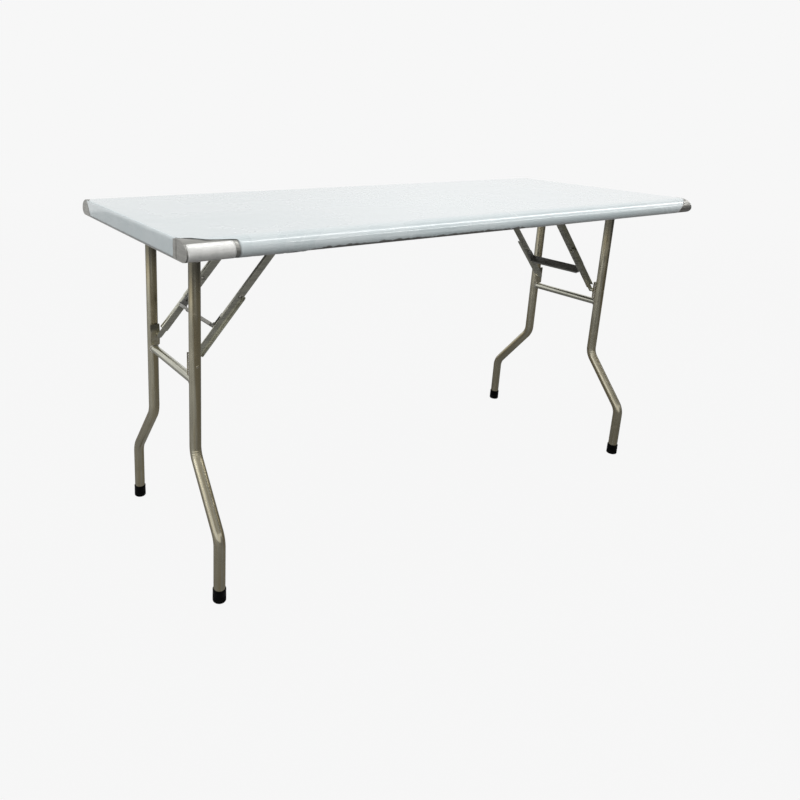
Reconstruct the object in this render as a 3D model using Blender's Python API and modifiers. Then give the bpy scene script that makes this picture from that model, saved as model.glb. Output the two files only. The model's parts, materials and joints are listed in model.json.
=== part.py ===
"""Folding worktable with a stainless steel top.

The top is one folded sheet with rolled long edges and bare end caps. Two hat rails under it
carry four leg brackets and four brace brackets. Each end has a leg frame of two bent tubes and
a tie, and a pair of folding braces whose upper arms are joined by a crossbar. A leg frame swings
about its pivots until it lies flat under the top, and its braces fold double beside it.

Units are metres, +Z is up, X runs along the table and the origin is on the floor below the
middle of the top. Each end is drawn in its own frame: x points from the leg towards the middle
of the table, y runs across the table and z is the height over the floor.
"""
import math

import bmesh
import bpy
from mathutils import Matrix, Vector

# The top
TOP_LENGTH = 1.524
TOP_WIDTH = 0.610
TOP_HEIGHT = 0.787
TOP_THICKNESS = 0.038
TOP_SHEET = 0.0012
ROLL_WIDTH = 0.052
ROLL_CROWN_RUN = 0.038
ROLL_CROWN_DROP = 0.024
ROLL_UNDER_RUN = 0.020
ROLL_LIP = 0.008
END_BEND_RADIUS = 0.003
END_RETURN = 0.012
CORNER_RELIEF = 0.001
CAP_SHEET = 0.0015

# The rails under the top
RAIL_OFFSET = 0.103
RAIL_WIDTH = 0.074
RAIL_DEPTH = 0.0235
RAIL_FLANGE = 0.012
RAIL_SHEET = 0.0012
RAIL_SETBACK = 0.027

# The leg frames
LEFT_LEG_SETBACK = 0.0985
RIGHT_LEG_SETBACK = 0.0801
LEG_TUBE = 0.0254
LEG_WALL = 0.0012
LEG_HALF_SPREAD_TOP = 0.1185
LEG_HALF_SPREAD_FOOT = 0.235
LEG_UPPER_BEND_HEIGHT = 0.289
LEG_LOWER_BEND_HEIGHT = 0.145
LEG_BEND_RADIUS = 0.050
LEG_HEAD = 0.020
TIE_TUBE = 0.019
TIE_WALL = 0.001
TIE_DROP = 0.335
FOOT_CAP_OUTER = 0.029
FOOT_CAP_HEIGHT = 0.030
FOOT_CAP_FLOOR = 0.004
FOOT_CAP_ROUND = 0.003

# The braces. The elbow and the leg lug are placed from the leg and from the top's surface.
ELBOW_RUN = 0.118
ELBOW_DROP = 0.173
LUG_RUN = 0.008
LUG_DROP = 0.299
ARM_OFFSET = 0.090
ARM_SHEET = 0.002
ARM_BEND_RADIUS = 0.0025
UPPER_ARM_WIDTH = 0.021
UPPER_ARM_FLANGE = 0.010
UPPER_ARM_TAIL = 0.060
LOWER_ARM_WIDTH = 0.018
LOWER_ARM_FLANGE = 0.0096
LOWER_ARM_TONGUE_WIDTH = 0.013
LOWER_ARM_TONGUE_LENGTH = 0.016
NEST_CLEARANCE = 0.0006
LUG_BUSH_RADIUS = 0.0055
LUG_SHEET = 0.003
LUG_HEIGHT = 0.050
LUG_HALF_WIDTH = 0.011
LUG_END_RADIUS = 0.0075
LUG_TIE_CLEARANCE = 0.0015
CROSSBAR_REACH = 0.081
CROSSBAR_WIDTH = 0.024
CROSSBAR_SHEET = 0.0025
CROSSBAR_LIP = 0.007
CROSSBAR_LIP_SETBACK = 0.010
CROSSBAR_BEND_RADIUS = 0.004
CROSSBAR_TAB_REACH = 0.045
CROSSBAR_TAB_WIDTH = 0.018
CROSSBAR_RIVET_REACH = 0.0535
CROSSBAR_HOLE_REACH = 0.0655
CROSSBAR_HOLE_RADIUS = 0.0028
CROSSBAR_RIVET_RADIUS = 0.0042
CROSSBAR_RIVET_HEAD = 0.0018

# Brackets, pins and rivets
BRACKET_SHEET = 0.0025
BRACKET_BEND_RADIUS = 0.003
LEG_BRACKET_LENGTH = 0.046
LEG_BRACKET_END_RADIUS = 0.012
BRACE_BRACKET_LENGTH = 0.036
BRACE_BRACKET_END_RADIUS = 0.0095
BRACE_BRACKET_FOOT = 0.022
LEG_PIN_RADIUS = 0.004
LEG_PIN_HEAD_RADIUS = 0.0062
LEG_PIN_HEAD = 0.002
BRACE_PIN_RADIUS = 0.003
BRACE_PIN_HEAD_RADIUS = 0.005
BRACE_PIN_HEAD = 0.002

# Clearances and the fineness of round faces
GAP = 0.0003
WELD = 0.00001
OVERRUN = 0.01
TUBE_BEVEL_RESOLUTION = 6
ROLL_CROWN_STEPS = 9
ROLL_UNDER_STEPS = 6
BEND_STEPS = 6
CORNER_STEPS = 3
END_STEPS = 8
ROUND_STEPS = 16
RIVET_STEPS = 12
FOOT_STEPS = 20
SMOOTH_ANGLE = math.radians(35)

# Colours as seen on the object, with metallic and roughness values
FINISHES = {
    "filmed_steel": ((0.76, 0.82, 0.84), 0.0, 0.25),
    "bare_steel": ((0.36, 0.35, 0.32), 1.0, 0.35),
    "folded_steel": ((0.40, 0.40, 0.38), 1.0, 0.40),
    "tube_steel": ((0.42, 0.39, 0.32), 1.0, 0.28),
    "arm_steel": ((0.24, 0.23, 0.19), 1.0, 0.42),
    "bracket_steel": ((0.34, 0.33, 0.30), 1.0, 0.45),
    "rivet_steel": ((0.50, 0.49, 0.46), 1.0, 0.30),
    "black_rubber": ((0.012, 0.012, 0.012), 0.0, 0.60),
}


def fold_points():
    """Places of the pivots, as run and height in an end's frame.

    The elbow and the lug are given. The brace pivot lies on the line from the lug through the
    elbow, and level with the folded lug, so that both arms lie flat when the legs are folded.
    """
    elbow = Vector((ELBOW_RUN, TOP_HEIGHT - ELBOW_DROP))
    lug = Vector((LUG_RUN, TOP_HEIGHT - LUG_DROP))
    lower = (elbow - lug).length
    direction = (elbow - lug) / lower
    rise = elbow.y - lug.y
    upper = (elbow.x - rise + lug.x + lower) / (1 - direction.x + direction.y)
    pivot = elbow + direction * upper
    return {"leg": Vector((0, pivot.y - lug.x)), "brace": pivot, "elbow": elbow, "lug": lug}


PIVOTS = fold_points()
ARM_DOWN = (PIVOTS["lug"] - PIVOTS["elbow"]).normalized()
ARM_UP_SIDE = Vector((ARM_DOWN.y, -ARM_DOWN.x))
UPPER_LENGTH = (PIVOTS["brace"] - PIVOTS["elbow"]).length
LOWER_LENGTH = (PIVOTS["elbow"] - PIVOTS["lug"]).length
RAIL_TOP = TOP_HEIGHT - TOP_SHEET - GAP
RAIL_BOTTOM = RAIL_TOP - RAIL_DEPTH
BRACKET_TOP = RAIL_BOTTOM - GAP
LEG_INNER_SIDE = LEG_HALF_SPREAD_TOP - LEG_TUBE / 2
LOWER_ARM_OFFSET = ARM_OFFSET + ARM_SHEET + GAP
# The upper arm's flange clears the lower arm's half width, on both sides of the elbow.
UPPER_ARM_TOP = LOWER_ARM_WIDTH / 2 + NEST_CLEARANCE + ARM_SHEET
UPPER_ARM_BOTTOM = UPPER_ARM_TOP - UPPER_ARM_WIDTH


def collection(name):
    """A new collection in the scene."""
    group = bpy.data.collections.new(name)
    bpy.context.scene.collection.children.link(group)
    return group


def clear_scene():
    """Take every object out of the file."""
    for thing in list(bpy.data.objects):
        bpy.data.objects.remove(thing, do_unlink=True)


def finish(name):
    """The Principled material of one finish, made on its first use."""
    existing = bpy.data.materials.get(name)
    if existing:
        return existing
    colour, metallic, roughness = FINISHES[name]
    made = bpy.data.materials.new(name)
    made.use_nodes = True
    shader = made.node_tree.nodes["Principled BSDF"]
    shader.inputs["Base Color"].default_value = (*colour, 1)
    shader.inputs["Metallic"].default_value = metallic
    shader.inputs["Roughness"].default_value = roughness
    return made


def empty(name, place, parent=None, turn=0.0):
    """An empty on a joint axis or at an end's frame."""
    axis = bpy.data.objects.new(name, None)
    axis.location = place
    axis.rotation_euler.z = turn
    axis.parent = parent
    PARTS.objects.link(axis)
    return axis


def place_mesh(name, mesh, parent):
    """A mesh as an object under its parent, in the parts' collection."""
    thing = bpy.data.objects.new(name, mesh)
    thing.parent = parent
    PARTS.objects.link(thing)
    return thing


def dress(thing, finish_name):
    """Give an object its material and smooth shading between its sharp edges."""
    thing.data.materials.clear()
    thing.data.materials.append(finish(finish_name))
    thing.data.shade_smooth()
    thing.data.set_sharp_from_angle(angle=SMOOTH_ANGLE)
    return thing


def combine(thing, tool, operation):
    """Work a tool into a piece with an exact Boolean, and put the tool among the cutters."""
    step = thing.modifiers.new(tool.name, "BOOLEAN")
    step.object = tool
    step.operation = operation
    step.solver = "EXACT"
    tool.hide_render = True
    tool.display_type = "WIRE"
    PARTS.objects.unlink(tool)
    CUTTERS.objects.link(tool)


def mesh_from_curve(name, curve, parent):
    """The mesh of a curve with its loose caps welded, and the curve removed."""
    drawn = place_mesh(name + "_curve", curve, parent)
    bpy.context.view_layer.update()
    evaluated = drawn.evaluated_get(bpy.context.evaluated_depsgraph_get())
    mesh = bpy.data.meshes.new_from_object(evaluated)
    work = bmesh.new()
    work.from_mesh(mesh)
    bmesh.ops.remove_doubles(work, verts=work.verts, dist=WELD)
    bmesh.ops.recalc_face_normals(work, faces=work.faces)
    work.to_mesh(mesh)
    work.free()
    bpy.data.objects.remove(drawn, do_unlink=True)
    bpy.data.curves.remove(curve)
    return place_mesh(name, mesh, parent)


def arc(centre, radius, start, end, steps):
    """Points on an arc, both ends included. The radius may be a pair, for an ellipse."""
    across, along = radius if isinstance(radius, tuple) else (radius, radius)
    points = []
    for i in range(steps + 1):
        angle = math.radians(start + (end - start) * i / steps)
        points.append((centre[0] + across * math.cos(angle), centre[1] + along * math.sin(angle)))
    return points


def axes(x_axis, y_axis, origin=(0, 0, 0)):
    """The matrix of a drawing plane, from the directions of its x and y."""
    x_axis, y_axis = Vector(x_axis), Vector(y_axis)
    turn = Matrix((x_axis, y_axis, x_axis.cross(y_axis))).transposed()
    return Matrix.Translation(origin) @ turn.to_4x4()


def extrusion(name, outline, depth, plane, parent):
    """A flat outline drawn as a 2D curve and thickened to both sides of its plane."""
    curve = bpy.data.curves.new(name, "CURVE")
    curve.dimensions = "2D"
    curve.fill_mode = "BOTH"
    curve.extrude = depth / 2
    spline = curve.splines.new("POLY")
    spline.points.add(len(outline) - 1)
    for point, (x, y) in zip(spline.points, outline):
        point.co = (x, y, 0, 1)
    spline.use_cyclic_u = True
    solid = mesh_from_curve(name, curve, parent)
    solid.data.transform(plane)
    return solid


def rod(name, path, radius, parent, tilt=0.0):
    """A round bar along a path, from a bevelled curve with filled caps."""
    curve = bpy.data.curves.new(name, "CURVE")
    curve.dimensions = "3D"
    curve.bevel_depth = radius
    curve.bevel_resolution = TUBE_BEVEL_RESOLUTION
    curve.use_fill_caps = True
    spline = curve.splines.new("POLY")
    spline.points.add(len(path) - 1)
    for point, place in zip(spline.points, path):
        point.co = (*place, 1)
        point.tilt = tilt
    return mesh_from_curve(name, curve, parent)


def pipe(name, path, radius, wall, parent):
    """A hollow tube along a path, open at both ends."""
    outside = rod(name, path, radius, parent)
    first = Vector(path[0]) + (Vector(path[0]) - Vector(path[1])).normalized() * OVERRUN
    last = Vector(path[-1]) + (Vector(path[-1]) - Vector(path[-2])).normalized() * OVERRUN
    half_facet = math.pi / (2 * TUBE_BEVEL_RESOLUTION + 4)
    bore = rod(name + "_bore", [first, *path, last], radius - wall, parent, half_facet)
    combine(outside, bore, "DIFFERENCE")
    return outside


def cylinder(name, radius, ends, centre, parent, steps=ROUND_STEPS):
    """A cylinder along Y between two places, centred on a run and a height."""
    low, high = min(ends), max(ends)
    work = bmesh.new()
    bmesh.ops.create_cone(
        work, cap_ends=True, segments=steps, radius1=radius, radius2=radius, depth=high - low)
    mesh = bpy.data.meshes.new(name)
    work.to_mesh(mesh)
    work.free()
    lay_down = Matrix.Rotation(math.pi / 2, 4, "X") @ Matrix.Rotation(math.pi / steps, 4, "Z")
    mesh.transform(lay_down)
    mesh.transform(Matrix.Translation((centre[0], (low + high) / 2, centre[1])))
    return place_mesh(name, mesh, parent)


def turned(name, profile, steps, parent, matrix):
    """A turned piece: a profile at +X, run down its outer side, swept by a Screw modifier."""
    mesh = bpy.data.meshes.new(name)
    mesh.from_pydata([(x, 0, z) for x, z in profile], [(i, i + 1) for i in range(len(profile) - 1)], [])
    thing = place_mesh(name, mesh, parent)
    thing.matrix_local = matrix
    screw = thing.modifiers.new("turn", "SCREW")
    screw.steps = steps
    screw.render_steps = steps
    screw.use_merge_vertices = True
    screw.merge_threshold = WELD
    screw.use_smooth_shade = True
    return thing


def rivet(name, shank, head, head_height, ends, centre, parent, flush=False):
    """A rivet along Y with a low domed head at both ends of its grip, or only at its first end."""
    first, last = ends
    half = abs(last - first) / 2
    dome = arc((0, half), (head, head_height), 90, 0, CORNER_STEPS)
    dome[0] = (0, half + head_height)
    tail = [(0, -half)] if flush else [(x, -z) for x, z in reversed(dome)]
    profile = [*dome, (shank, half), (shank, -half), *tail]
    lay_down = Matrix.Rotation(math.copysign(math.pi / 2, last - first), 4, "X")
    place = Matrix.Translation((centre[0], (first + last) / 2, centre[1])) @ lay_down
    return turned(name, profile, RIVET_STEPS, parent, place)


def roll_profile():
    """One long edge of the top as (y, z): the crown, the nose and the turn back underneath."""
    edge = TOP_WIDTH / 2
    nose = TOP_HEIGHT - ROLL_CROWN_DROP
    under = TOP_HEIGHT - TOP_THICKNESS
    crown = arc((edge - ROLL_CROWN_RUN, nose), (ROLL_CROWN_RUN, ROLL_CROWN_DROP), 90, 0, ROLL_CROWN_STEPS)
    turn = arc((edge - ROLL_UNDER_RUN, nose), (ROLL_UNDER_RUN, nose - under), 0, -90, ROLL_UNDER_STEPS)
    return [(edge - ROLL_WIDTH, TOP_HEIGHT), *crown, *turn[1:], (edge - ROLL_WIDTH, under)]


def extrude_edges(work, edges, step):
    """Extrude edges along a step and return the new edges."""
    made = bmesh.ops.extrude_edge_only(work, edges=edges)["geom"]
    points = [part for part in made if isinstance(part, bmesh.types.BMVert)]
    bmesh.ops.translate(work, verts=points, vec=step)
    fresh = set(points)
    return [part for part in made
            if isinstance(part, bmesh.types.BMEdge) and all(end in fresh for end in part.verts)]


def face_up(work, outward):
    """Turn an open surface so that the face furthest along a direction looks that way."""
    bmesh.ops.recalc_face_normals(work, faces=work.faces)
    work.normal_update()
    furthest = max(work.faces, key=lambda face: face.calc_center_median().dot(outward))
    if furthest.normal.dot(outward) < 0:
        bmesh.ops.reverse_faces(work, faces=work.faces)


def folded_sheet(name, work, thickness):
    """An open folded surface made into a sheet, its thickness on the inner side."""
    mesh = bpy.data.meshes.new(name)
    work.to_mesh(mesh)
    work.free()
    sheet = place_mesh(name, mesh, None)
    wall = sheet.modifiers.new("thickness", "SOLIDIFY")
    wall.thickness = thickness
    wall.offset = -1
    wall.use_even_offset = True
    return sheet


def open_profile(work, points, x):
    """Edges through (y, z) points at one place along the table."""
    corners = [work.verts.new((x, y, z)) for y, z in points]
    return [work.edges.new(pair) for pair in zip(corners, corners[1:])]


def top_sheet():
    """The top: one sheet, rolled along both long edges and folded down at both ends."""
    half = TOP_LENGTH / 2 - END_BEND_RADIUS
    flat = TOP_WIDTH / 2 - ROLL_WIDTH - CORNER_RELIEF
    lip = (TOP_WIDTH / 2 - ROLL_WIDTH, TOP_HEIGHT - TOP_THICKNESS + ROLL_LIP)
    side = [(flat, TOP_HEIGHT), *roll_profile(), lip]
    profile = [(-y, z) for y, z in reversed(side)] + side
    work = bmesh.new()
    edges = open_profile(work, profile, -half)
    far_edges = extrude_edges(work, edges, (2 * half, 0, 0))
    for sign, ends in ((-1, edges), (1, far_edges)):
        spans = [sorted(abs(corner.co.y) for corner in edge.verts) for edge in ends]
        wall = [edge for edge, span in zip(ends, spans) if span[1] < flat + WELD]
        rolls = [edge for edge, span in zip(ends, spans) if span[0] > flat + WELD]
        extrude_edges(work, rolls, (sign * (END_BEND_RADIUS - CAP_SHEET - GAP), 0, 0))
        bend = arc((0, -END_BEND_RADIUS), END_BEND_RADIUS, 90, 0, CORNER_STEPS)
        bend += [(END_BEND_RADIUS, -TOP_THICKNESS), (END_BEND_RADIUS - END_RETURN, -TOP_THICKNESS)]
        for before, after in zip(bend, bend[1:]):
            wall = extrude_edges(work, wall, (sign * (after[0] - before[0]), 0, after[1] - before[1]))
    face_up(work, Vector((0, 0, 1)))
    return dress(folded_sheet("top_sheet", work, TOP_SHEET), "filmed_steel")


def edge_cap(name, x_side, y_side):
    """The bare cap that closes one end of a rolled edge, cut to the roll's own profile."""
    outline = [(y * y_side, z) for y, z in roll_profile()]
    x = x_side * (TOP_LENGTH / 2 - CAP_SHEET / 2)
    cap = extrusion(name, outline, CAP_SHEET, axes((0, 1, 0), (0, 0, 1), (x, 0, 0)), None)
    return dress(cap, "bare_steel")


def rail(name, y_side):
    """One hat rail under the top, from end to end."""
    inner = RAIL_OFFSET - RAIL_WIDTH / 2
    outer = RAIL_OFFSET + RAIL_WIDTH / 2
    flange = RAIL_TOP - RAIL_SHEET
    hat = [(inner - RAIL_FLANGE, flange), (inner, flange), (inner, RAIL_BOTTOM),
           (outer, RAIL_BOTTOM), (outer, flange), (outer + RAIL_FLANGE, flange)]
    half = TOP_LENGTH / 2 - RAIL_SETBACK
    work = bmesh.new()
    edges = open_profile(work, [(y * y_side, z) for y, z in hat], -half)
    extrude_edges(work, edges, (2 * half, 0, 0))
    face_up(work, Vector((0, 0, -1)))
    return dress(folded_sheet(name, work, RAIL_SHEET), "folded_steel")


def bracket_side(length, pivot_height, radius):
    """A bracket seen from the side: as long as its foot on the rail and round at its pivot."""
    shoulder = BRACKET_TOP - BRACKET_SHEET - BRACKET_BEND_RADIUS
    nose = arc((0, pivot_height), radius, 0, -180, END_STEPS)
    return [(-length / 2, BRACKET_TOP), (length / 2, BRACKET_TOP), (length / 2, shoulder),
            *nose, (-length / 2, shoulder)]


def bracket(name, section, side, middle, run, pin_radius, pivot_height, frame):
    """A folded bracket: its section run along the rail, trimmed to its side outline."""
    reach = 2 * TOP_THICKNESS + OVERRUN
    length = max(x for x, z in side) * 2
    body = extrusion(name, section, length, axes((0, 1, 0), (0, 0, 1), (run, 0, 0)), frame)
    trim = extrusion(name + "_side", side, reach, axes((1, 0, 0), (0, 0, 1), (run, middle, 0)), frame)
    combine(body, trim, "INTERSECT")
    ends = (middle - reach / 2, middle + reach / 2)
    hole = cylinder(name + "_hole", pin_radius + GAP, ends, (run, pivot_height), frame)
    combine(body, hole, "DIFFERENCE")
    return dress(body, "bracket_steel")


def leg_bracket(name, y_side, frame):
    """A U bracket that straddles the top of one leg."""
    pivot = PIVOTS["leg"].y
    low = pivot - LEG_BRACKET_END_RADIUS
    inner = LEG_TUBE / 2 + GAP
    outer = inner + BRACKET_SHEET
    middle = y_side * LEG_HALF_SPREAD_TOP
    corner = BRACKET_TOP - BRACKET_BEND_RADIUS
    bend = arc((outer - BRACKET_BEND_RADIUS, corner), BRACKET_BEND_RADIUS, 0, 90, CORNER_STEPS)
    half = [(inner, BRACKET_TOP - BRACKET_SHEET), (inner, low), (outer, low), *bend]
    section = half + [(-y, z) for y, z in reversed(half)]
    section = [(middle + y, z) for y, z in section]
    side = bracket_side(LEG_BRACKET_LENGTH, pivot, LEG_BRACKET_END_RADIUS)
    return bracket(name, section, side, middle, 0, LEG_PIN_RADIUS, pivot, frame)


def brace_bracket(name, y_side, frame):
    """An angle bracket that holds the upper arm's pivot on its outer face."""
    run, pivot = PIVOTS["brace"]
    low = pivot - BRACE_BRACKET_END_RADIUS
    face = ARM_OFFSET - GAP
    corner = (face - BRACKET_BEND_RADIUS, BRACKET_TOP - BRACKET_BEND_RADIUS)
    bend = arc(corner, BRACKET_BEND_RADIUS, 0, 90, CORNER_STEPS)
    foot = face - BRACE_BRACKET_FOOT
    back = face - BRACKET_SHEET
    section = [(face, low), *bend, (foot, BRACKET_TOP), (foot, BRACKET_TOP - BRACKET_SHEET),
               (back, BRACKET_TOP - BRACKET_SHEET), (back, low)]
    section = [(y * y_side, z) for y, z in section]
    side = bracket_side(BRACE_BRACKET_LENGTH, pivot, BRACE_BRACKET_END_RADIUS)
    return bracket(name, section, side, y_side * face, run, BRACE_PIN_RADIUS, pivot, frame)


def leg_pin(name, y_side, frame):
    """The pin through one leg bracket and the top of its leg."""
    half = LEG_TUBE / 2 + BRACKET_SHEET + 2 * GAP
    middle = y_side * LEG_HALF_SPREAD_TOP
    pin = rivet(name, LEG_PIN_RADIUS, LEG_PIN_HEAD_RADIUS, LEG_PIN_HEAD,
                (middle - half, middle + half), PIVOTS["leg"], frame)
    return dress(pin, "rivet_steel")


def brace_pin(name, y_side, frame):
    """The rivet through one brace bracket and the end of its upper arm.

    Its outer end is flush with the arm, because the folded lower arm lies over it.
    """
    inner = ARM_OFFSET - GAP - BRACKET_SHEET - GAP
    outer = ARM_OFFSET + ARM_SHEET
    pin = rivet(name, BRACE_PIN_RADIUS, BRACE_PIN_HEAD_RADIUS, BRACE_PIN_HEAD,
                (y_side * inner, y_side * outer), PIVOTS["brace"], frame, flush=True)
    return dress(pin, "rivet_steel")


def leg_path(y_side):
    """The centre line of one leg, down from its head to the foot cap, relative to its pivot."""
    pivot = PIVOTS["leg"].y
    corners = [Vector((LEG_HALF_SPREAD_TOP, pivot + LEG_HEAD)),
               Vector((LEG_HALF_SPREAD_TOP, LEG_UPPER_BEND_HEIGHT)),
               Vector((LEG_HALF_SPREAD_FOOT, LEG_LOWER_BEND_HEIGHT)),
               Vector((LEG_HALF_SPREAD_FOOT, FOOT_CAP_FLOOR + GAP))]
    points = [corners[0]]
    for before, corner, after in zip(corners, corners[1:], corners[2:]):
        arrive = (before - corner).normalized()
        leave = (after - corner).normalized()
        half_turn = arrive.angle(leave) / 2
        centre = corner + (arrive + leave).normalized() * LEG_BEND_RADIUS / math.sin(half_turn)
        run = LEG_BEND_RADIUS / math.tan(half_turn)
        start = corner + arrive * run - centre
        end = corner + leave * run - centre
        for i in range(BEND_STEPS + 1):
            spoke = start.lerp(end, i / BEND_STEPS).normalized() * LEG_BEND_RADIUS
            points.append(centre + spoke)
    points.append(corners[-1])
    return [(0, y * y_side, z - pivot) for y, z in points]


def leg_tube(name, y_side, axis):
    """One bent leg, with the cross hole for its pin."""
    leg = pipe(name, leg_path(y_side), LEG_TUBE / 2, LEG_WALL, axis)
    middle = y_side * LEG_HALF_SPREAD_TOP
    ends = (middle - LEG_TUBE, middle + LEG_TUBE)
    combine(leg, cylinder(name + "_pin_hole", LEG_PIN_RADIUS + GAP, ends, (0, 0), axis), "DIFFERENCE")
    return dress(leg, "tube_steel")


def leg_tie(name, axis):
    """The tie between the two legs, its ends coped to the round of the legs."""
    height = TOP_HEIGHT - TIE_DROP - PIVOTS["leg"].y
    half = LEG_HALF_SPREAD_TOP
    tie = pipe(name, [(0, -half, height), (0, half, height)], TIE_TUBE / 2, TIE_WALL, axis)
    for side in (-1, 1):
        path = [(0, side * half, height - TIE_TUBE), (0, side * half, height + TIE_TUBE)]
        combine(tie, rod(f"{name}_cope_{side + 1}", path, LEG_TUBE / 2 + GAP, axis), "DIFFERENCE")
    return dress(tie, "tube_steel")


def foot_cap(name, y_side, axis):
    """The rubber cap on one foot: a turned cup with a rounded sole."""
    inner = LEG_TUBE / 2 + GAP
    outer = FOOT_CAP_OUTER / 2
    rim = arc((outer - FOOT_CAP_ROUND / 2, FOOT_CAP_HEIGHT - FOOT_CAP_ROUND / 2),
              FOOT_CAP_ROUND / 2, 90, 0, CORNER_STEPS)
    sole = arc((outer - FOOT_CAP_ROUND, FOOT_CAP_ROUND), FOOT_CAP_ROUND, 0, -90, CORNER_STEPS)
    profile = [(0, FOOT_CAP_FLOOR), (inner, FOOT_CAP_FLOOR), (inner, FOOT_CAP_HEIGHT),
               *rim, *sole, (0, 0)]
    place = Matrix.Translation((0, y_side * LEG_HALF_SPREAD_FOOT, -PIVOTS["leg"].y))
    return dress(turned(name, profile, FOOT_STEPS, axis, place), "black_rubber")


def leg_lug(name, y_side, axis):
    """The lug on the inner side of one leg: a strap that stands on the tie, with a round nose."""
    centre = PIVOTS["lug"] - PIVOTS["leg"]
    tie_top = TOP_HEIGHT - TIE_DROP + TIE_TUBE / 2 - PIVOTS["leg"].y
    low = min(tie_top + LUG_TIE_CLEARANCE, centre.y - LUG_END_RADIUS)
    high = max(low + LUG_HEIGHT, centre.y + LUG_END_RADIUS)
    nose = arc(centre, LUG_END_RADIUS, 60, -60, END_STEPS)
    side = [(-LUG_HALF_WIDTH, low), (-LUG_HALF_WIDTH, high), (LUG_HALF_WIDTH, high),
            *nose, (LUG_HALF_WIDTH, low)]
    middle = LEG_INNER_SIDE - GAP - LUG_SHEET / 2
    plane = axes((1, 0, 0), (0, 0, 1), (0, y_side * middle, 0))
    return dress(extrusion(name, side, LUG_SHEET, plane, axis), "bracket_steel")


def arm_vector(direction):
    """A direction of the arm's side view as a direction in an end's frame."""
    return Vector((direction.x, 0, direction.y))


def arm_side_plane(along, across, y):
    """The drawing plane of the arms' side view: x down the arm, y to its upper side."""
    origin = arm_vector(ARM_DOWN * along + ARM_UP_SIDE * across)
    origin.y = y
    return axes(arm_vector(ARM_DOWN), arm_vector(ARM_UP_SIDE), origin)


def angle_arm(name, section, side, depth, y_side, axis):
    """An arm of angle section, run down the arm's line and trimmed to its side outline."""
    length = 2 * max(abs(x) for x, y in side)
    run_plane = axes(arm_vector(ARM_UP_SIDE), (0, y_side, 0))
    arm = extrusion(name, section, length, run_plane, axis)
    middle = y_side * (section[0][1] + depth / 2)
    trim = extrusion(name + "_side", side, depth + OVERRUN, arm_side_plane(0, 0, middle), axis)
    combine(arm, trim, "INTERSECT")
    return arm


def arm_hole(arm, name, radius, along, y_side, axis):
    """A hole across an arm, at a place along its line."""
    spot = ARM_DOWN * along
    ends = (y_side * (ARM_OFFSET - OVERRUN), y_side * (LOWER_ARM_OFFSET + OVERRUN))
    combine(arm, cylinder(name, radius, ends, spot, axis), "DIFFERENCE")


def upper_arm(name, y_side, axis):
    """An upper arm: a flange along its upper edge, turned outwards, and a round pivot end."""
    face, back = ARM_OFFSET, ARM_OFFSET + ARM_SHEET
    edge, foot = UPPER_ARM_TOP, UPPER_ARM_BOTTOM
    bend = arc((edge - ARM_BEND_RADIUS, face + ARM_BEND_RADIUS), ARM_BEND_RADIUS, -90, 0, CORNER_STEPS)
    section = [(foot, face), *bend, (edge, face + UPPER_ARM_FLANGE),
               (edge - ARM_SHEET, face + UPPER_ARM_FLANGE), (edge - ARM_SHEET, back), (foot, back)]
    tail = UPPER_LENGTH + UPPER_ARM_TAIL
    middle, half = (edge + foot) / 2, (edge - foot) / 2
    side = [(tail, foot), (tail, edge), *arc((0, middle), half, 90, 270, END_STEPS)]
    arm = angle_arm(name, section, side, UPPER_ARM_FLANGE, y_side, axis)
    arm_hole(arm, name + "_pivot_hole", BRACE_PIN_RADIUS + GAP, 0, y_side, axis)
    arm_hole(arm, name + "_elbow_hole", BRACE_PIN_RADIUS + GAP, UPPER_LENGTH, y_side, axis)
    return dress(arm, "arm_steel")


def lower_arm(name, y_side, flange_side, axis):
    """A lower arm: an angle with a round elbow end, and a flat tongue and bush at its lug end.

    The same pressing serves both legs of a frame, turned over, so its flange is at its lower
    edge on one leg and at its upper edge on the other.
    """
    face, back = LOWER_ARM_OFFSET, LOWER_ARM_OFFSET + ARM_SHEET
    half = LOWER_ARM_WIDTH / 2
    bend = arc((half - ARM_BEND_RADIUS, face + ARM_BEND_RADIUS), ARM_BEND_RADIUS, -90, 0, CORNER_STEPS)
    section = [(-half, face), *bend, (half, face + LOWER_ARM_FLANGE),
               (half - ARM_SHEET, face + LOWER_ARM_FLANGE), (half - ARM_SHEET, back), (-half, back)]
    section = [(x * flange_side, y) for x, y in section]
    tongue = LOWER_ARM_TONGUE_WIDTH / 2
    shoulder = LOWER_LENGTH - LOWER_ARM_TONGUE_LENGTH
    side = [*arc((0, 0), half, 90, 270, END_STEPS), (shoulder - half + tongue, -half),
            (shoulder, -tongue), *arc((LOWER_LENGTH, 0), tongue, -90, 90, END_STEPS),
            (shoulder, tongue), (shoulder - half + tongue, half)]
    arm = angle_arm(name, section, side, LOWER_ARM_FLANGE, y_side, axis)
    arm_hole(arm, name + "_elbow_hole", BRACE_PIN_RADIUS + GAP, 0, y_side, axis)
    ends = (y_side * (face + ARM_SHEET / 2), y_side * (LEG_INNER_SIDE - 2 * GAP - LUG_SHEET))
    bush = cylinder(name + "_bush", LUG_BUSH_RADIUS, ends, ARM_DOWN * LOWER_LENGTH, axis)
    combine(arm, bush, "UNION")
    return dress(arm, "arm_steel")


def elbow_rivet(name, y_side, axis):
    """The rivet that joins an upper and a lower arm."""
    inner = ARM_OFFSET - GAP
    outer = LOWER_ARM_OFFSET + ARM_SHEET + GAP
    pin = rivet(name, BRACE_PIN_RADIUS, BRACE_PIN_HEAD_RADIUS, BRACE_PIN_HEAD,
                (y_side * inner, y_side * outer), ARM_DOWN * UPPER_LENGTH, axis)
    return dress(pin, "rivet_steel")


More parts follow.
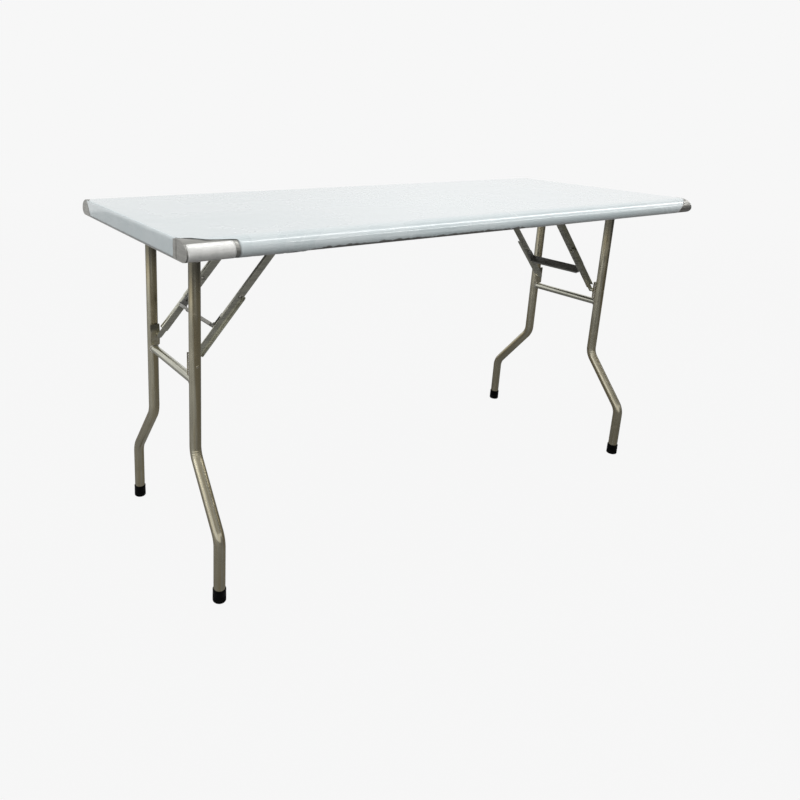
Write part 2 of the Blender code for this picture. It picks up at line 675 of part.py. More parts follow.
def crossbar(name, axis):
    """The bar between the upper arms: a shallow channel whose ends are bent into narrow tabs.

    The tabs lie on the arms and point to the elbows. The channel's lips point the other way and
    stop short of the arms.
    """
    face = ARM_OFFSET - GAP
    near = UPPER_LENGTH + CROSSBAR_TAB_REACH
    far = UPPER_LENGTH + CROSSBAR_REACH + CROSSBAR_SHEET / 2
    corner = (far - CROSSBAR_BEND_RADIUS, face - CROSSBAR_BEND_RADIUS)
    bend = arc(corner, CROSSBAR_BEND_RADIUS, 90, 0, CORNER_STEPS)
    back, inner = far - CROSSBAR_SHEET, face - CROSSBAR_SHEET
    half = [(back, inner), (near, inner), (near, face), *bend]
    section = half + [(x, -y) for x, y in reversed(half)]
    middle = (UPPER_ARM_TOP + UPPER_ARM_BOTTOM) / 2
    plane = axes(arm_vector(ARM_DOWN), (0, 1, 0), arm_vector(ARM_UP_SIDE * middle))
    bar = extrusion(name, section, CROSSBAR_WIDTH, plane, axis)
    tab, lip_side = CROSSBAR_TAB_WIDTH / 2, CROSSBAR_WIDTH / 2
    wide = lip_side - GAP
    neck = far - CROSSBAR_BEND_RADIUS
    side = [(far, -wide), (far, wide), (neck, wide), (neck - wide + tab, tab),
            *arc((near + tab, 0), tab, 90, 270, END_STEPS), (neck - wide + tab, -tab), (neck, -wide)]
    trim_plane = arm_side_plane(0, middle, 0)
    trim = extrusion(name + "_side", side, 2 * ARM_OFFSET + OVERRUN, trim_plane, axis)
    combine(bar, trim, "INTERSECT")
    start, stop = far - CROSSBAR_SHEET / 2, back + CROSSBAR_LIP
    lip_inner = lip_side - CROSSBAR_SHEET
    lip = [(start, lip_inner), (start, lip_side), (stop, lip_side), (stop, lip_inner)]
    length = 2 * (face - CROSSBAR_LIP_SETBACK)
    for side in (-1, 1):
        edge = [(x, y * side) for x, y in lip]
        combine(bar, extrusion(f"{name}_lip_{side + 1}", edge, length, trim_plane, axis), "UNION")
    spot = ARM_DOWN * (UPPER_LENGTH + CROSSBAR_HOLE_REACH) + ARM_UP_SIDE * middle
    hole = cylinder(name + "_hole", CROSSBAR_HOLE_RADIUS, (-ARM_OFFSET, ARM_OFFSET), spot, axis)
    combine(bar, hole, "DIFFERENCE")
    spot = ARM_DOWN * (UPPER_LENGTH + CROSSBAR_RIVET_REACH) + ARM_UP_SIDE * middle
    for side in (-1, 1):
        ends = (side * (face - CROSSBAR_SHEET / 2), side * (inner - CROSSBAR_RIVET_HEAD))
        head = cylinder(f"{name}_rivet_{side + 1}", CROSSBAR_RIVET_RADIUS, ends, spot, axis)
        combine(bar, head, "UNION")
    return dress(bar, "arm_steel")


def table_end(end, turn, setback):
    """One end of the table: its brackets and pins, leg frame and braces."""
    facing = math.cos(turn)
    frame = empty(f"{end}_end", (-facing * (TOP_LENGTH / 2 - setback), 0, 0), turn=turn)
    leg, brace, elbow = (arm_vector(PIVOTS[key]) for key in ("leg", "brace", "elbow"))
    leg_axis = empty(f"{end}_leg_fold", leg, frame)
    brace_axis = empty(f"{end}_upper_brace_fold", brace, frame)
    elbow_axis = empty(f"{end}_elbow_fold", elbow - brace, brace_axis)
    leg_tie(f"leg_tie_{end}", leg_axis)
    crossbar(f"brace_crossbar_{end}", brace_axis)
    for y_side in (-1, 1):
        corner = ("front" if y_side * facing < 0 else "back") + "_" + end
        leg_bracket(f"leg_bracket_{corner}", y_side, frame)
        brace_bracket(f"brace_bracket_{corner}", y_side, frame)
        leg_pin(f"leg_pin_{corner}", y_side, frame)
        brace_pin(f"brace_pin_{corner}", y_side, frame)
        leg_tube(f"leg_tube_{corner}", y_side, leg_axis)
        foot_cap(f"foot_cap_{corner}", y_side, leg_axis)
        leg_lug(f"leg_lug_{corner}", y_side, leg_axis)
        upper_arm(f"upper_arm_{corner}", y_side, brace_axis)
        elbow_rivet(f"elbow_rivet_{corner}", y_side, brace_axis)
        lower_arm(f"lower_arm_{corner}", y_side, y_side, elbow_axis)


def table_top():
    """The top with its end caps and rails."""
    top_sheet()
    for y_side, depth in ((-1, "front"), (1, "back")):
        rail(f"rail_{depth}", y_side)
        for x_side, end in ((-1, "left"), (1, "right")):
            edge_cap(f"edge_cap_{depth}_{end}", x_side, y_side)


clear_scene()
PARTS = collection("folding_worktable")
CUTTERS = collection("cutters")
table_top()
table_end("left", 0, LEFT_LEG_SETBACK)
table_end("right", math.pi, RIGHT_LEG_SETBACK)
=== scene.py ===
import json
import math

import bmesh
import bpy
import numpy as np
from bpy.props import FloatProperty, FloatVectorProperty, IntProperty, PointerProperty
from mathutils import Matrix, Vector, noise


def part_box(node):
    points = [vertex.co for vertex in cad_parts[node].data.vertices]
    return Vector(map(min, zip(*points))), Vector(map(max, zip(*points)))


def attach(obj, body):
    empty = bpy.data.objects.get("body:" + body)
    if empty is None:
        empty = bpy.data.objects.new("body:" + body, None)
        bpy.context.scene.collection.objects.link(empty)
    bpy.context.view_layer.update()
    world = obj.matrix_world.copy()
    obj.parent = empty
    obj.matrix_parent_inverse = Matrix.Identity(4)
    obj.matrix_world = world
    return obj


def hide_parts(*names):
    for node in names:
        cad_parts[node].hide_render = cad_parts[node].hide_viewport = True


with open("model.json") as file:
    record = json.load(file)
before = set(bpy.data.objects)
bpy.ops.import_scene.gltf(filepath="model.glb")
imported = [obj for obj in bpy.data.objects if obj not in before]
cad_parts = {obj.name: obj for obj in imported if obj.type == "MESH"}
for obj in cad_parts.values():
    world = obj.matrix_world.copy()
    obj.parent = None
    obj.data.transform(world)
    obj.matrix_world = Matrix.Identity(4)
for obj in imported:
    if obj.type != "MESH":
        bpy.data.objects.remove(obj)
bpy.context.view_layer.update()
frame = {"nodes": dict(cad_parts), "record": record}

bl_info = {
    "name": "Folding worktable finish",
    "version": (1, 0, 0),
    "blender": (4, 5, 0),
    "location": "3D View > Sidebar > Worktable",
    "description": "Film, steel, welds and fasteners of a folding worktable, with its studio",
    "category": "Object",
}

TOP_LOW, TOP_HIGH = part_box("top_sheet")
CAP_LOW, CAP_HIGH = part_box("edge_cap_front_left")
TIE_LOW, TIE_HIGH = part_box("leg_tie_left")
LEG_LOW, LEG_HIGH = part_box("leg_tube_front_left")
FOOT_LOW, FOOT_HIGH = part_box("foot_cap_front_left")
FAR_LOW, FAR_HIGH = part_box("foot_cap_front_right")
HALF_LENGTH = abs(CAP_LOW.x)
HALF_WIDTH = TOP_HIGH.y
TOP_HEIGHT = TOP_HIGH.z
UNDERSIDE = TOP_LOW.z
FLAT_EDGE = abs(CAP_HIGH.y)
LEG_AT = {-1: (FOOT_LOW.x + FOOT_HIGH.x) / 2, 1: (FAR_LOW.x + FAR_HIGH.x) / 2}
TUBE_RADIUS = 0.0127
TIE_RADIUS = 0.0095
BEND_RADIUS = 0.050
BEND_HEIGHTS = (0.289, 0.145)
END_BEND = 0.003
CROWN_RUN = 0.038
CROWN_DROP = 0.024
UNDER_RUN = 0.020
FOOT_SPREAD = abs(FOOT_LOW.y + FOOT_HIGH.y) / 2
HEAD_SPREAD = abs(LEG_HIGH.y) + TUBE_RADIUS
TIE_HEIGHT = (TIE_LOW.z + TIE_HIGH.z) / 2
BODY_OF = {node: body for body, nodes in frame["record"]["behaviour"]["bodies"].items() for node in nodes}
PIVOTS = {joint["name"]: Vector(joint["pos_m"]) for joint in frame["record"]["behaviour"]["joints"]}
ARM_RISE = PIVOTS["left_upper_brace_fold"] - PIVOTS["left_elbow_fold"]
ARM_SLOPE = math.atan2(ARM_RISE.z, ARM_RISE.x)
END_NAME = {-1: "left", 1: "right"}
LEG_BODY = {-1: "left_leg", 1: "right_leg"}
CORNERS = [(x, y, side + END_NAME[x]) for x in (-1, 1) for y, side in ((-1, "front_"), (1, "back_"))]


class FilmSettings(bpy.types.PropertyGroup):
    """Protective film over the top."""
    colour: FloatVectorProperty(
        name="Film colour", description="Pale blue of the film over the steel",
        subtype="COLOR", size=3, min=0, max=1, default=(0.66, 0.75, 0.77))
    cloud: FloatVectorProperty(
        name="Cloud colour", description="Whiter patches where air lies under the film",
        subtype="COLOR", size=3, min=0, max=1, default=(0.73, 0.80, 0.815))
    gap: FloatProperty(
        name="Gap", description="Air between the steel and the film",
        unit="LENGTH", precision=5, default=0.0002)
    thickness: FloatProperty(
        name="Thickness", description="Thickness of the film", unit="LENGTH", precision=5, default=0.00012)
    hem: FloatProperty(
        name="Hem", description="Bare band at the foot of the two end faces",
        unit="LENGTH", precision=4, default=0.0016)
    peel: FloatProperty(
        name="Peeled length", description="Length of the front edge that is bare at the left end",
        unit="LENGTH", precision=3, default=0.103)
    fringe: FloatProperty(
        name="Fringe", description="How far the torn edge hangs under the rolled edges",
        unit="LENGTH", precision=4, default=0.0018)
    roughness: FloatProperty(
        name="Roughness", description="Roughness of the film", min=0, max=1, default=0.24)


class SteelSettings(bpy.types.PropertyGroup):
    """Colours of the steel."""
    tube: FloatVectorProperty(
        name="Tube", description="Warm polished tube of the leg frames",
        subtype="COLOR", size=3, min=0, max=1, default=(0.56, 0.53, 0.415))
    arm: FloatVectorProperty(
        name="Arm", description="Dark satin strip of the braces",
        subtype="COLOR", size=3, min=0, max=1, default=(0.56, 0.555, 0.475))
    sheet: FloatVectorProperty(
        name="Sheet", description="Bare sheet of the top and its end caps",
        subtype="COLOR", size=3, min=0, max=1, default=(0.36, 0.357, 0.335))
    bracket: FloatVectorProperty(
        name="Bracket", description="Pressed brackets and lugs",
        subtype="COLOR", size=3, min=0, max=1, default=(0.42, 0.41, 0.37))
    rivet: FloatVectorProperty(
        name="Rivet", description="Rivets and pins",
        subtype="COLOR", size=3, min=0, max=1, default=(0.36, 0.35, 0.315))
    roughness: FloatProperty(
        name="Roughness", description="Roughness of the polished tube", min=0, max=1, default=0.20)


class DetailSettings(bpy.types.PropertyGroup):
    """Sizes of the small pieces."""
    tube_sides: IntProperty(name="Tube sides", description="Sides of a swept tube", min=8, default=40)
    bead: FloatProperty(
        name="Weld bead", description="Radius of a weld bead", unit="LENGTH", precision=4, default=0.0017)
    seam: FloatProperty(
        name="Tube seam", description="Radius of the seam along a tube",
        unit="LENGTH", precision=5, default=0.0003)
    crease: FloatProperty(
        name="Bend creases", description="Height of the creases inside a tube's bends",
        unit="LENGTH", precision=5, default=0.00022)
    rivet: FloatProperty(
        name="Bracket rivet", description="Radius of a rivet head under a bracket",
        unit="LENGTH", precision=4, default=0.0040)
    spot: FloatProperty(
        name="Spot weld", description="Radius of a spot weld on the rails",
        unit="LENGTH", precision=4, default=0.0026)
    spot_pitch: FloatProperty(
        name="Spot pitch", description="Distance between the spot welds",
        unit="LENGTH", precision=3, default=0.098)


class StudioSettings(bpy.types.PropertyGroup):
    """Camera, lamps and floor."""
    floor: FloatVectorProperty(
        name="Floor", description="Colour of the floor", subtype="COLOR", size=3, min=0, max=1,
        default=(0.09, 0.09, 0.09))
    glow: FloatProperty(
        name="Floor glow", description="Share of the floor's own white that the camera sees", min=0, max=1,
        default=0.92)
    backdrop: FloatProperty(
        name="Backdrop", description="Brightness of the backdrop", min=0, max=1, default=0.93)
    ambient: FloatProperty(name="Ambient", description="Light from all round", min=0, default=0.60)
    key: FloatProperty(
        name="Key lamp", description="Power of the key lamp", min=0, unit="POWER", default=16)
    side: FloatProperty(
        name="Side lamp", description="Power of the lamp at the left", min=0, unit="POWER", default=15.5)
    overhead: FloatProperty(
        name="Overhead lamp", description="Power of the lamp over the table", min=0, unit="POWER", default=14)
    focal_length: FloatProperty(
        name="Focal length", description="Focal length of the camera in millimetres", default=31.5016)


# Node trees
def add(tree, kind, inputs=None, **settings):
    """A node with its settings, its input values and its links."""
    node = tree.nodes.new(kind)
    for key, value in settings.items():
        setattr(node, key, value)
    for key, value in (inputs or {}).items():
        socket = node.inputs[key]
        if isinstance(value, bpy.types.NodeSocket):
            tree.links.new(value, socket)
        else:
            socket.default_value = value
    return node


def result(tree, kind, inputs=None, **settings):
    """The first output of a new node."""
    return add(tree, kind, inputs, **settings).outputs[0]


def new_material(name):
    """A material with its principled shader."""
    material = bpy.data.materials.new(name)
    material.use_nodes = True
    tree = material.node_tree
    return material, tree, tree.nodes["Principled BSDF"]


def rgba(colour, gain=1.0):
    """A colour as four values, lighter or darker."""
    return (*[min(1.0, part * gain) for part in colour], 1.0)


def math_node(tree, operation, a, b=0.0):
    """One step of arithmetic."""
    return result(tree, "ShaderNodeMath", {0: a, 1: b}, operation=operation)


def scaled(tree, value, gain):
    """A value times a gain."""
    return math_node(tree, "MULTIPLY", value, gain)


def mixed(tree, factor, a, b):
    """Two values mixed by a factor."""
    return result(tree, "ShaderNodeMix", {0: factor, 2: a, 3: b}, data_type="FLOAT")


def spread(tree, value, low, high, to_low=0.0, to_high=1.0):
    """A value moved smoothly from one range to another."""
    return result(tree, "ShaderNodeMapRange", {0: value, 1: low, 2: high, 3: to_low, 4: to_high},
                  interpolation_type="SMOOTHSTEP")


def grain(tree, vector, scale, detail=3.0, roughness=0.55, distortion=0.0):
    """A noise at one scale."""
    return result(tree, "ShaderNodeTexNoise",
                  {"Vector": vector, "Scale": scale, "Detail": detail, "Roughness": roughness,
                   "Distortion": distortion})


def blend_colour(tree, factor, a, b):
    """Two colours mixed by a factor."""
    node = add(tree, "ShaderNodeMix", {0: factor, 6: a, 7: b}, data_type="RGBA")
    return node.outputs[2]


def object_place(tree):
    """Where a point is on the table, in metres."""
    return add(tree, "ShaderNodeTexCoord").outputs["Object"]


def upward(tree, vector):
    """The upright part of a vector."""
    return add(tree, "ShaderNodeSeparateXYZ", {0: vector}).outputs[2]


def turned_place(tree, vector, turn=(0, 0, 0), scale=(1, 1, 1)):
    """A place turned and stretched."""
    return result(tree, "ShaderNodeMapping", {"Vector": vector, "Rotation": turn, "Scale": scale})


def bump(tree, height, strength, distance):
    """A bump from a height."""
    return result(tree, "ShaderNodeBump", {"Height": height, "Strength": strength, "Distance": distance})


def dress(tree, shader, base, rough, relief, metallic=0.0):
    """Put a colour, a roughness and a relief on a shader."""
    for name, value in (("Base Color", base), ("Roughness", rough), ("Normal", relief)):
        tree.links.new(value, shader.inputs[name])
    shader.inputs["Metallic"].default_value = metallic


def steel(name, colour, roughness, turn=(0, 0, 0), along=(0.04, 1, 1), path=None, streak=520.0, depth=0.35,
          mottle=0.25, tarnish=0.0, smudge=(46.0, 5.0), painted_head_shade=None, painted_underside_shade=False):
    """Brushed or drawn steel: streaks along the work, mottling, smudges and a few scratches.

    Tarnish adds broad warm streaks that run the same way. The head option paints shade that grows between two
    heights and stays above them. The underside option paints shade on the faces that look down.
    """
    material, tree, shader = new_material(name)
    place = object_place(tree)
    lie = place
    if path:
        lie = add(tree, "ShaderNodeAttribute", attribute_name=path).outputs["Vector"]
    lie = turned_place(tree, lie, turn, along)
    streaks = grain(tree, lie, streak, 4.0, 0.6)
    scratches = spread(tree, grain(tree, lie, streak * 0.45, 2.0, 0.5, 0.4), 0.66, 0.78)
    clouds = grain(tree, place, 14.0, 3.0, 0.55, 0.6)
    smudges = spread(tree, grain(tree, place, *smudge, 0.65, 1.2), 0.42, 0.72)
    tone = math_node(tree, "ADD", scaled(tree, streaks, 1 - mottle), scaled(tree, clouds, mottle))
    base = blend_colour(tree, spread(tree, tone, 0.32, 0.68), rgba(colour, 0.80), rgba(colour, 1.16))
    base = blend_colour(tree, scaled(tree, scratches, 0.30), base, rgba(colour, 1.45))
    if tarnish:
        broad = spread(tree, grain(tree, lie, streak * 0.45, 3.0, 0.6, 0.3), 0.42, 0.62)
        warm = (colour[0] * 0.74, colour[1] * 0.65, colour[2] * 0.48, 1.0)
        base = blend_colour(tree, scaled(tree, broad, tarnish), base, warm)
    base = blend_colour(tree, scaled(tree, smudges, 0.22), base, rgba(colour, 0.72))
    # Painted shade: the colour darkens from the first height to the second and stays dark above, standing in
    # for shade at the upper end
    if painted_head_shade:
        shade_above = spread(tree, upward(tree, place), *painted_head_shade, 0.0, 0.92)
        base = blend_colour(tree, shade_above, base, rgba(colour, 0.28))
    # Painted shade: faces that look down get darker, standing in for the shade under the top
    if painted_underside_shade:
        facing = upward(tree, add(tree, "ShaderNodeTexCoord").outputs["Normal"])
        base = blend_colour(tree, spread(tree, facing, -0.5, -0.9), base, rgba(colour, 0.45))
    rough = result(tree, "ShaderNodeMath", {0: streaks, 1: 0.16, 2: roughness - 0.08},
                operation="MULTIPLY_ADD")
    rough = math_node(tree, "ADD", rough, scaled(tree, smudges, 0.12))
    dress(tree, shader, base, rough, bump(tree, streaks, depth, 0.00006), metallic=1.0)
    return material


def film_material(settings):
    """Glossy pale film on brushed steel, with lines from its roll, soft waves, small air bubbles, and painted
    shade and highlights at its edges.
    """
    material, tree, shader = new_material("protective_film")
    place = object_place(tree)
    lines = grain(tree, turned_place(tree, place, scale=(0.03, 1, 1)), 620.0, 3.0, 0.6)
    bands = grain(tree, turned_place(tree, place, scale=(0.25, 1, 1)), 26.0, 2.0, 0.5, 0.5)
    clouds = grain(tree, place, 5.0, 4.0, 0.6, 0.8)
    bubbles = add(tree, "ShaderNodeTexVoronoi", {"Vector": place, "Scale": 95.0, "Randomness": 1.0})
    sparse = spread(tree, grain(tree, place, 21.0, 2.0), 0.56, 0.70)
    domes = scaled(tree, spread(tree, bubbles.outputs["Distance"], 0.22, 0.06), sparse)
    edge = add(tree, "ShaderNodeAttribute", attribute_name="film_edge_shading").outputs["Fac"]
    base = blend_colour(tree, spread(tree, clouds, 0.35, 0.65), rgba(settings.colour), rgba(settings.cloud))
    base = blend_colour(tree, spread(tree, lines, 0.3, 0.7, 0.0, 0.16), base, rgba(settings.colour, 0.80))
    base = blend_colour(tree, scaled(tree, domes, 0.25), base, rgba(settings.cloud, 1.08))
    # Painted shade at the free edges, darker painted shadow in the torn stretch, and white at the crumple
    # with a painted highlight by the right end, all from the edge mark
    for low, high, at_low, at_high, shade in ((0.0, 1.0, 0.55, 0.0, (0.16, 0.17, 0.17, 1)),
                                              (-1.0, 0.0, 0.9, 0.0, (0.01, 0.01, 0.01, 1)),
                                              (1.0, 2.0, 0.0, 0.9, (0.97, 0.97, 0.97, 1))):
        base = blend_colour(tree, spread(tree, edge, low, high, at_low, at_high), base, shade)
    rough = spread(tree, clouds, 0.3, 0.7, settings.roughness - 0.05, settings.roughness + 0.07)
    waves = math_node(tree, "ADD", scaled(tree, bands, 0.8), scaled(tree, lines, 0.05))
    waves = math_node(tree, "ADD", waves, scaled(tree, domes, 0.15))
    dress(tree, shader, base, rough, bump(tree, waves, 0.35, 0.0012))
    shader.inputs["Coat Weight"].default_value = 1.0
    shader.inputs["Coat Roughness"].default_value = 0.06
    return material


def foil_material():
    """Bright satin foil with fine speckle, for the bare label."""
    material, tree, shader = new_material("blank_foil")
    place = object_place(tree)
    speckle = grain(tree, place, 900.0, 3.0, 0.6)
    patches = grain(tree, place, 60.0, 4.0, 0.6, 0.5)
    pale, dull = (0.87, 0.87, 0.845, 1), (0.75, 0.75, 0.725, 1)
    base = blend_colour(tree, spread(tree, patches, 0.3, 0.7), dull, pale)
    base = blend_colour(tree, spread(tree, speckle, 0.55, 0.75, 0.0, 0.25), base, (0.50, 0.50, 0.47, 1))
    rough = spread(tree, speckle, 0.3, 0.7, 0.30, 0.44)
    dress(tree, shader, base, rough, bump(tree, speckle, 0.3, 0.00004), metallic=0.4)
    return material


def rubber_material():
    """Black rubber with a moulded grain, dust, and scuffs near the floor."""
    material, tree, shader = new_material("foot_rubber")
    place = object_place(tree)
    pits = grain(tree, place, 1500.0, 4.0, 0.6)
    dust = spread(tree, grain(tree, place, 120.0, 5.0, 0.65, 0.8), 0.50, 0.75)
    low = scaled(tree, spread(tree, upward(tree, place), 0.012, 0.0), dust)
    black, worn = (0.002, 0.002, 0.002, 1), (0.008, 0.008, 0.0075, 1)
    base = blend_colour(tree, scaled(tree, dust, 0.35), black, worn)
    base = blend_colour(tree, scaled(tree, low, 0.8), base, (0.022, 0.021, 0.019, 1))
    rough = spread(tree, dust, 0.0, 1.0, 0.42, 0.68)
    dress(tree, shader, base, rough, bump(tree, pits, 0.35, 0.00012))
    shader.inputs["Specular IOR Level"].default_value = 0.06
    return material


def weld_material():
    """Bright ground weld with a little heat colour."""
    material, tree, shader = new_material("weld_metal")
    place = object_place(tree)
    tint = grain(tree, place, 130.0, 3.0, 0.6, 0.8)
    grind = grain(tree, place, 1400.0, 3.0, 0.6)
    dull, bright = (0.42, 0.40, 0.36, 1), (0.60, 0.58, 0.54, 1)
    base = blend_colour(tree, spread(tree, tint, 0.35, 0.65), dull, bright)
    base = blend_colour(tree, spread(tree, tint, 0.60, 0.75, 0.0, 0.6), base, (0.34, 0.27, 0.18, 1))
    rough = spread(tree, grind, 0.3, 0.7, 0.30, 0.50)
    dress(tree, shader, base, rough, bump(tree, grind, 0.4, 0.00015), metallic=1.0)
    return material


MATERIALS = {}


def make_materials(scene):
    """Every finish of the table, made once."""
    tone = scene.worktable_steel
    swept = {"path": "sweep_lie", "along": (1, 1, 0.03), "streak": 190.0, "depth": 0.06,
             "smudge": (16.0, 2.0)}
    strip = {"streak": 300.0, "depth": 0.12, "smudge": (20.0, 2.0)}
    MATERIALS.update(
        film=film_material(scene.worktable_film), foil=foil_material(), rubber=rubber_material(),
        weld=weld_material(),
        # Painted shade at the head of each leg tube, under the top, and at the upper end of each lug
        tube=steel("tube_steel", tone.tube, tone.roughness, mottle=0.35, tarnish=0.8, painted_head_shade=(0.62, 0.70),
                   **swept),
        tie=steel("tie_steel", tone.arm, tone.roughness, **swept),
        lug=steel("lug_steel", tone.tube, 0.34, along=(1, 1, 1), streak=300.0, depth=1.0, mottle=0.5,
                  tarnish=0.5, painted_head_shade=(0.490, 0.505)),
        # The sheet gets painted shade on its faces that look down
        sheet=steel("sheet_steel", tone.sheet, 0.34, painted_underside_shade=True),
        cap=steel("cap_steel", tone.sheet, 0.38, along=(1, 0.05, 1)),
        rail=steel("rail_steel", tone.sheet, 0.42, mottle=0.5),
        bracket=steel("bracket_steel", tone.bracket, 0.36, along=(0.3, 1, 0.3), mottle=0.5),
        rivet=steel("rivet_steel", tone.rivet, 0.26, along=(1, 1, 1), mottle=0.6),
        arm_left=steel("arm_steel_left", tone.arm, 0.28, turn=(0, ARM_SLOPE, 0), **strip),
        arm_right=steel("arm_steel_right", tone.arm, 0.28, turn=(0, -ARM_SLOPE, 0), **strip),
        bar=steel("bar_steel", tone.sheet, 0.36, along=(1, 0.04, 1)),
    )


# Meshes
def new_object(name, data):
    """An object in the scene."""
    thing = bpy.data.objects.new(name, data)
    bpy.context.scene.collection.objects.link(thing)
    return thing


def mesh_from(work, name, sharp_angle=None):
    """The mesh of a finished bmesh, shaded smooth between its sharp edges where an angle is given."""
    mesh = bpy.data.meshes.new(name)
    work.to_mesh(mesh)
    work.free()
    if sharp_angle:
        mesh.shade_smooth()
        mesh.set_sharp_from_angle(angle=math.radians(sharp_angle))
    return mesh


def place_piece(name, mesh, body, finish=None):
    """A finished mesh that rides on a body."""
    piece = new_object(name, mesh)
    if finish:
        mesh.materials.clear()
        mesh.materials.append(MATERIALS[finish])
    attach(piece, body)
    return piece


def closed_copy(node, name, finish, sharp_angle=38):
    """A node's own mesh with its triangles joined and its curves shaded smooth."""
    work = bmesh.new()
    work.from_mesh(frame["nodes"][node].data)
    bmesh.ops.remove_doubles(work, verts=work.verts, dist=2e-6)
    bmesh.ops.dissolve_limit(work, angle_limit=math.radians(0.5), verts=work.verts, edges=work.edges)
    piece = place_piece(name, mesh_from(work, name, sharp_angle), BODY_OF[node], finish)
    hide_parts(node)
    return piece


def baked(thing, name):
    """The plain mesh of an object with its modifiers."""
    graph = bpy.context.evaluated_depsgraph_get()
    mesh = bpy.data.meshes.new_from_object(thing.evaluated_get(graph))
    mesh.name = name
    old = thing.data
    thing.modifiers.clear()
    bpy.data.objects.remove(thing)
    bpy.data.meshes.remove(old)
    return mesh


def geometry_tree(name, inputs):
    """An empty geometry tree with named inputs."""
    tree = bpy.data.node_groups.new(name, "GeometryNodeTree")
    for label, kind, default in [("Geometry", "NodeSocketGeometry", None), *inputs]:
        socket = tree.interface.new_socket(label, in_out="INPUT", socket_type=kind)
        if default is not None:
            socket.default_value = default
    tree.interface.new_socket("Geometry", in_out="OUTPUT", socket_type="NodeSocketGeometry")
    return tree, add(tree, "NodeGroupInput").outputs


def named_vector(tree, name):
    """A vector stored on the points under a name."""
    return result(tree, "GeometryNodeInputNamedAttribute", {"Name": name}, data_type="FLOAT_VECTOR")


def close_tree(tree, geometry, material):
    """The end of a tree: instances made real, and the finish set."""
    real = result(tree, "GeometryNodeRealizeInstances", {0: geometry})
    dressed = result(tree, "GeometryNodeSetMaterial", {"Geometry": real, "Material": material})
    add(tree, "NodeGroupOutput", {0: dressed})
    return tree


def sweep_tree():
    """A round bar swept along each path, with ripples round it and creases on the inside of its bends."""
    tree, given = geometry_tree("round_sweep", [
        ("Radius", "NodeSocketFloat", 0.01), ("Sides", "NodeSocketInt", 24),
        ("Ripple height", "NodeSocketFloat", 0.0), ("Ripple pitch", "NodeSocketFloat", 0.004),
        ("Crease height", "NodeSocketFloat", 0.0), ("Crease pitch", "NodeSocketFloat", 0.006),
        ("Material", "NodeSocketMaterial", None)])
    curve = result(tree, "GeometryNodeMeshToCurve", {0: given["Geometry"]})
    ring = result(tree, "GeometryNodeCurvePrimitiveCircle",
                  {"Resolution": given["Sides"], "Radius": given["Radius"]})

    def measured(geometry, name, measure):
        """A curve and its own measure, kept for what is swept along it."""
        held = add(tree, "GeometryNodeCaptureAttribute", {"Geometry": geometry})
        held.capture_items.new("FLOAT", name)
        tree.links.new(add(tree, "GeometryNodeSplineParameter").outputs[measure], held.inputs[1])
        return held.outputs[0], held.outputs[1]

    path, along = measured(curve, "Along", "Length")
    rim, around = measured(ring, "Around", "Factor")
    swept = result(tree, "GeometryNodeCurveToMesh", {0: path, 1: rim, "Fill Caps": True})
    angle = scaled(tree, around, math.tau)
    cosine, sine = math_node(tree, "COSINE", angle), math_node(tree, "SINE", angle)
    side = result(tree, "ShaderNodeCombineXYZ", {0: cosine, 1: sine})
    flat = result(tree, "ShaderNodeVectorMath", {0: side, "Scale": given["Radius"]}, operation="SCALE")
    rise = result(tree, "ShaderNodeCombineXYZ", {2: along})
    lie = result(tree, "ShaderNodeVectorMath", {0: flat, 1: rise}, operation="ADD")
    stored = result(tree, "GeometryNodeStoreNamedAttribute",
                    {"Geometry": swept, "Name": "sweep_lie", "Value": lie},
                    data_type="FLOAT_VECTOR", domain="POINT")
    outward = result(tree, "GeometryNodeInputNormal")
    inside = named_vector(tree, "bend_inside")
    facing = add(tree, "ShaderNodeVectorMath", {0: outward, 1: inside}, operation="DOT_PRODUCT")
    facing = math_node(tree, "MAXIMUM", facing.outputs["Value"], 0.0)

    def wave(kind):
        """A swing along the path, with its own pitch and height."""
        turns = scaled(tree, math_node(tree, "DIVIDE", along, given[kind + " pitch"]), math.tau)
        return scaled(tree, math_node(tree, "SINE", turns), given[kind + " height"])

    lift = math_node(tree, "ADD", scaled(tree, wave("Crease"), facing), wave("Ripple"))
    step = result(tree, "ShaderNodeVectorMath", {0: outward, "Scale": lift}, operation="SCALE")
    moved = result(tree, "GeometryNodeSetPosition", {"Geometry": stored, "Offset": step})
    smooth = result(tree, "GeometryNodeSetShadeSmooth", {0: moved, "Shade Smooth": True})
    return close_tree(tree, smooth, given["Material"])


def stud_tree():
    """A domed head on every point, its crown along the point's facing."""
    tree, given = geometry_tree("domed_heads", [
        ("Radius", "NodeSocketFloat", 0.004), ("Height", "NodeSocketFloat", 0.0016),
        ("Sides", "NodeSocketInt", 20), ("Material", "NodeSocketMaterial", None)])
    ball = result(tree, "GeometryNodeMeshUVSphere", {"Segments": given["Sides"], "Rings": 8, "Radius": 1.0})
    smooth = result(tree, "GeometryNodeSetShadeSmooth", {0: ball, "Shade Smooth": True})
    size = result(tree, "ShaderNodeCombineXYZ", {0: given["Radius"], 1: given["Radius"], 2: given["Height"]})
    facing = named_vector(tree, "facing")
    turn = result(tree, "FunctionNodeAlignRotationToVector", {"Vector": facing}, axis="Z")
    heads = result(tree, "GeometryNodeInstanceOnPoints",
                   {"Points": given["Geometry"], "Instance": smooth, "Rotation": turn, "Scale": size})
    return close_tree(tree, heads, given["Material"])


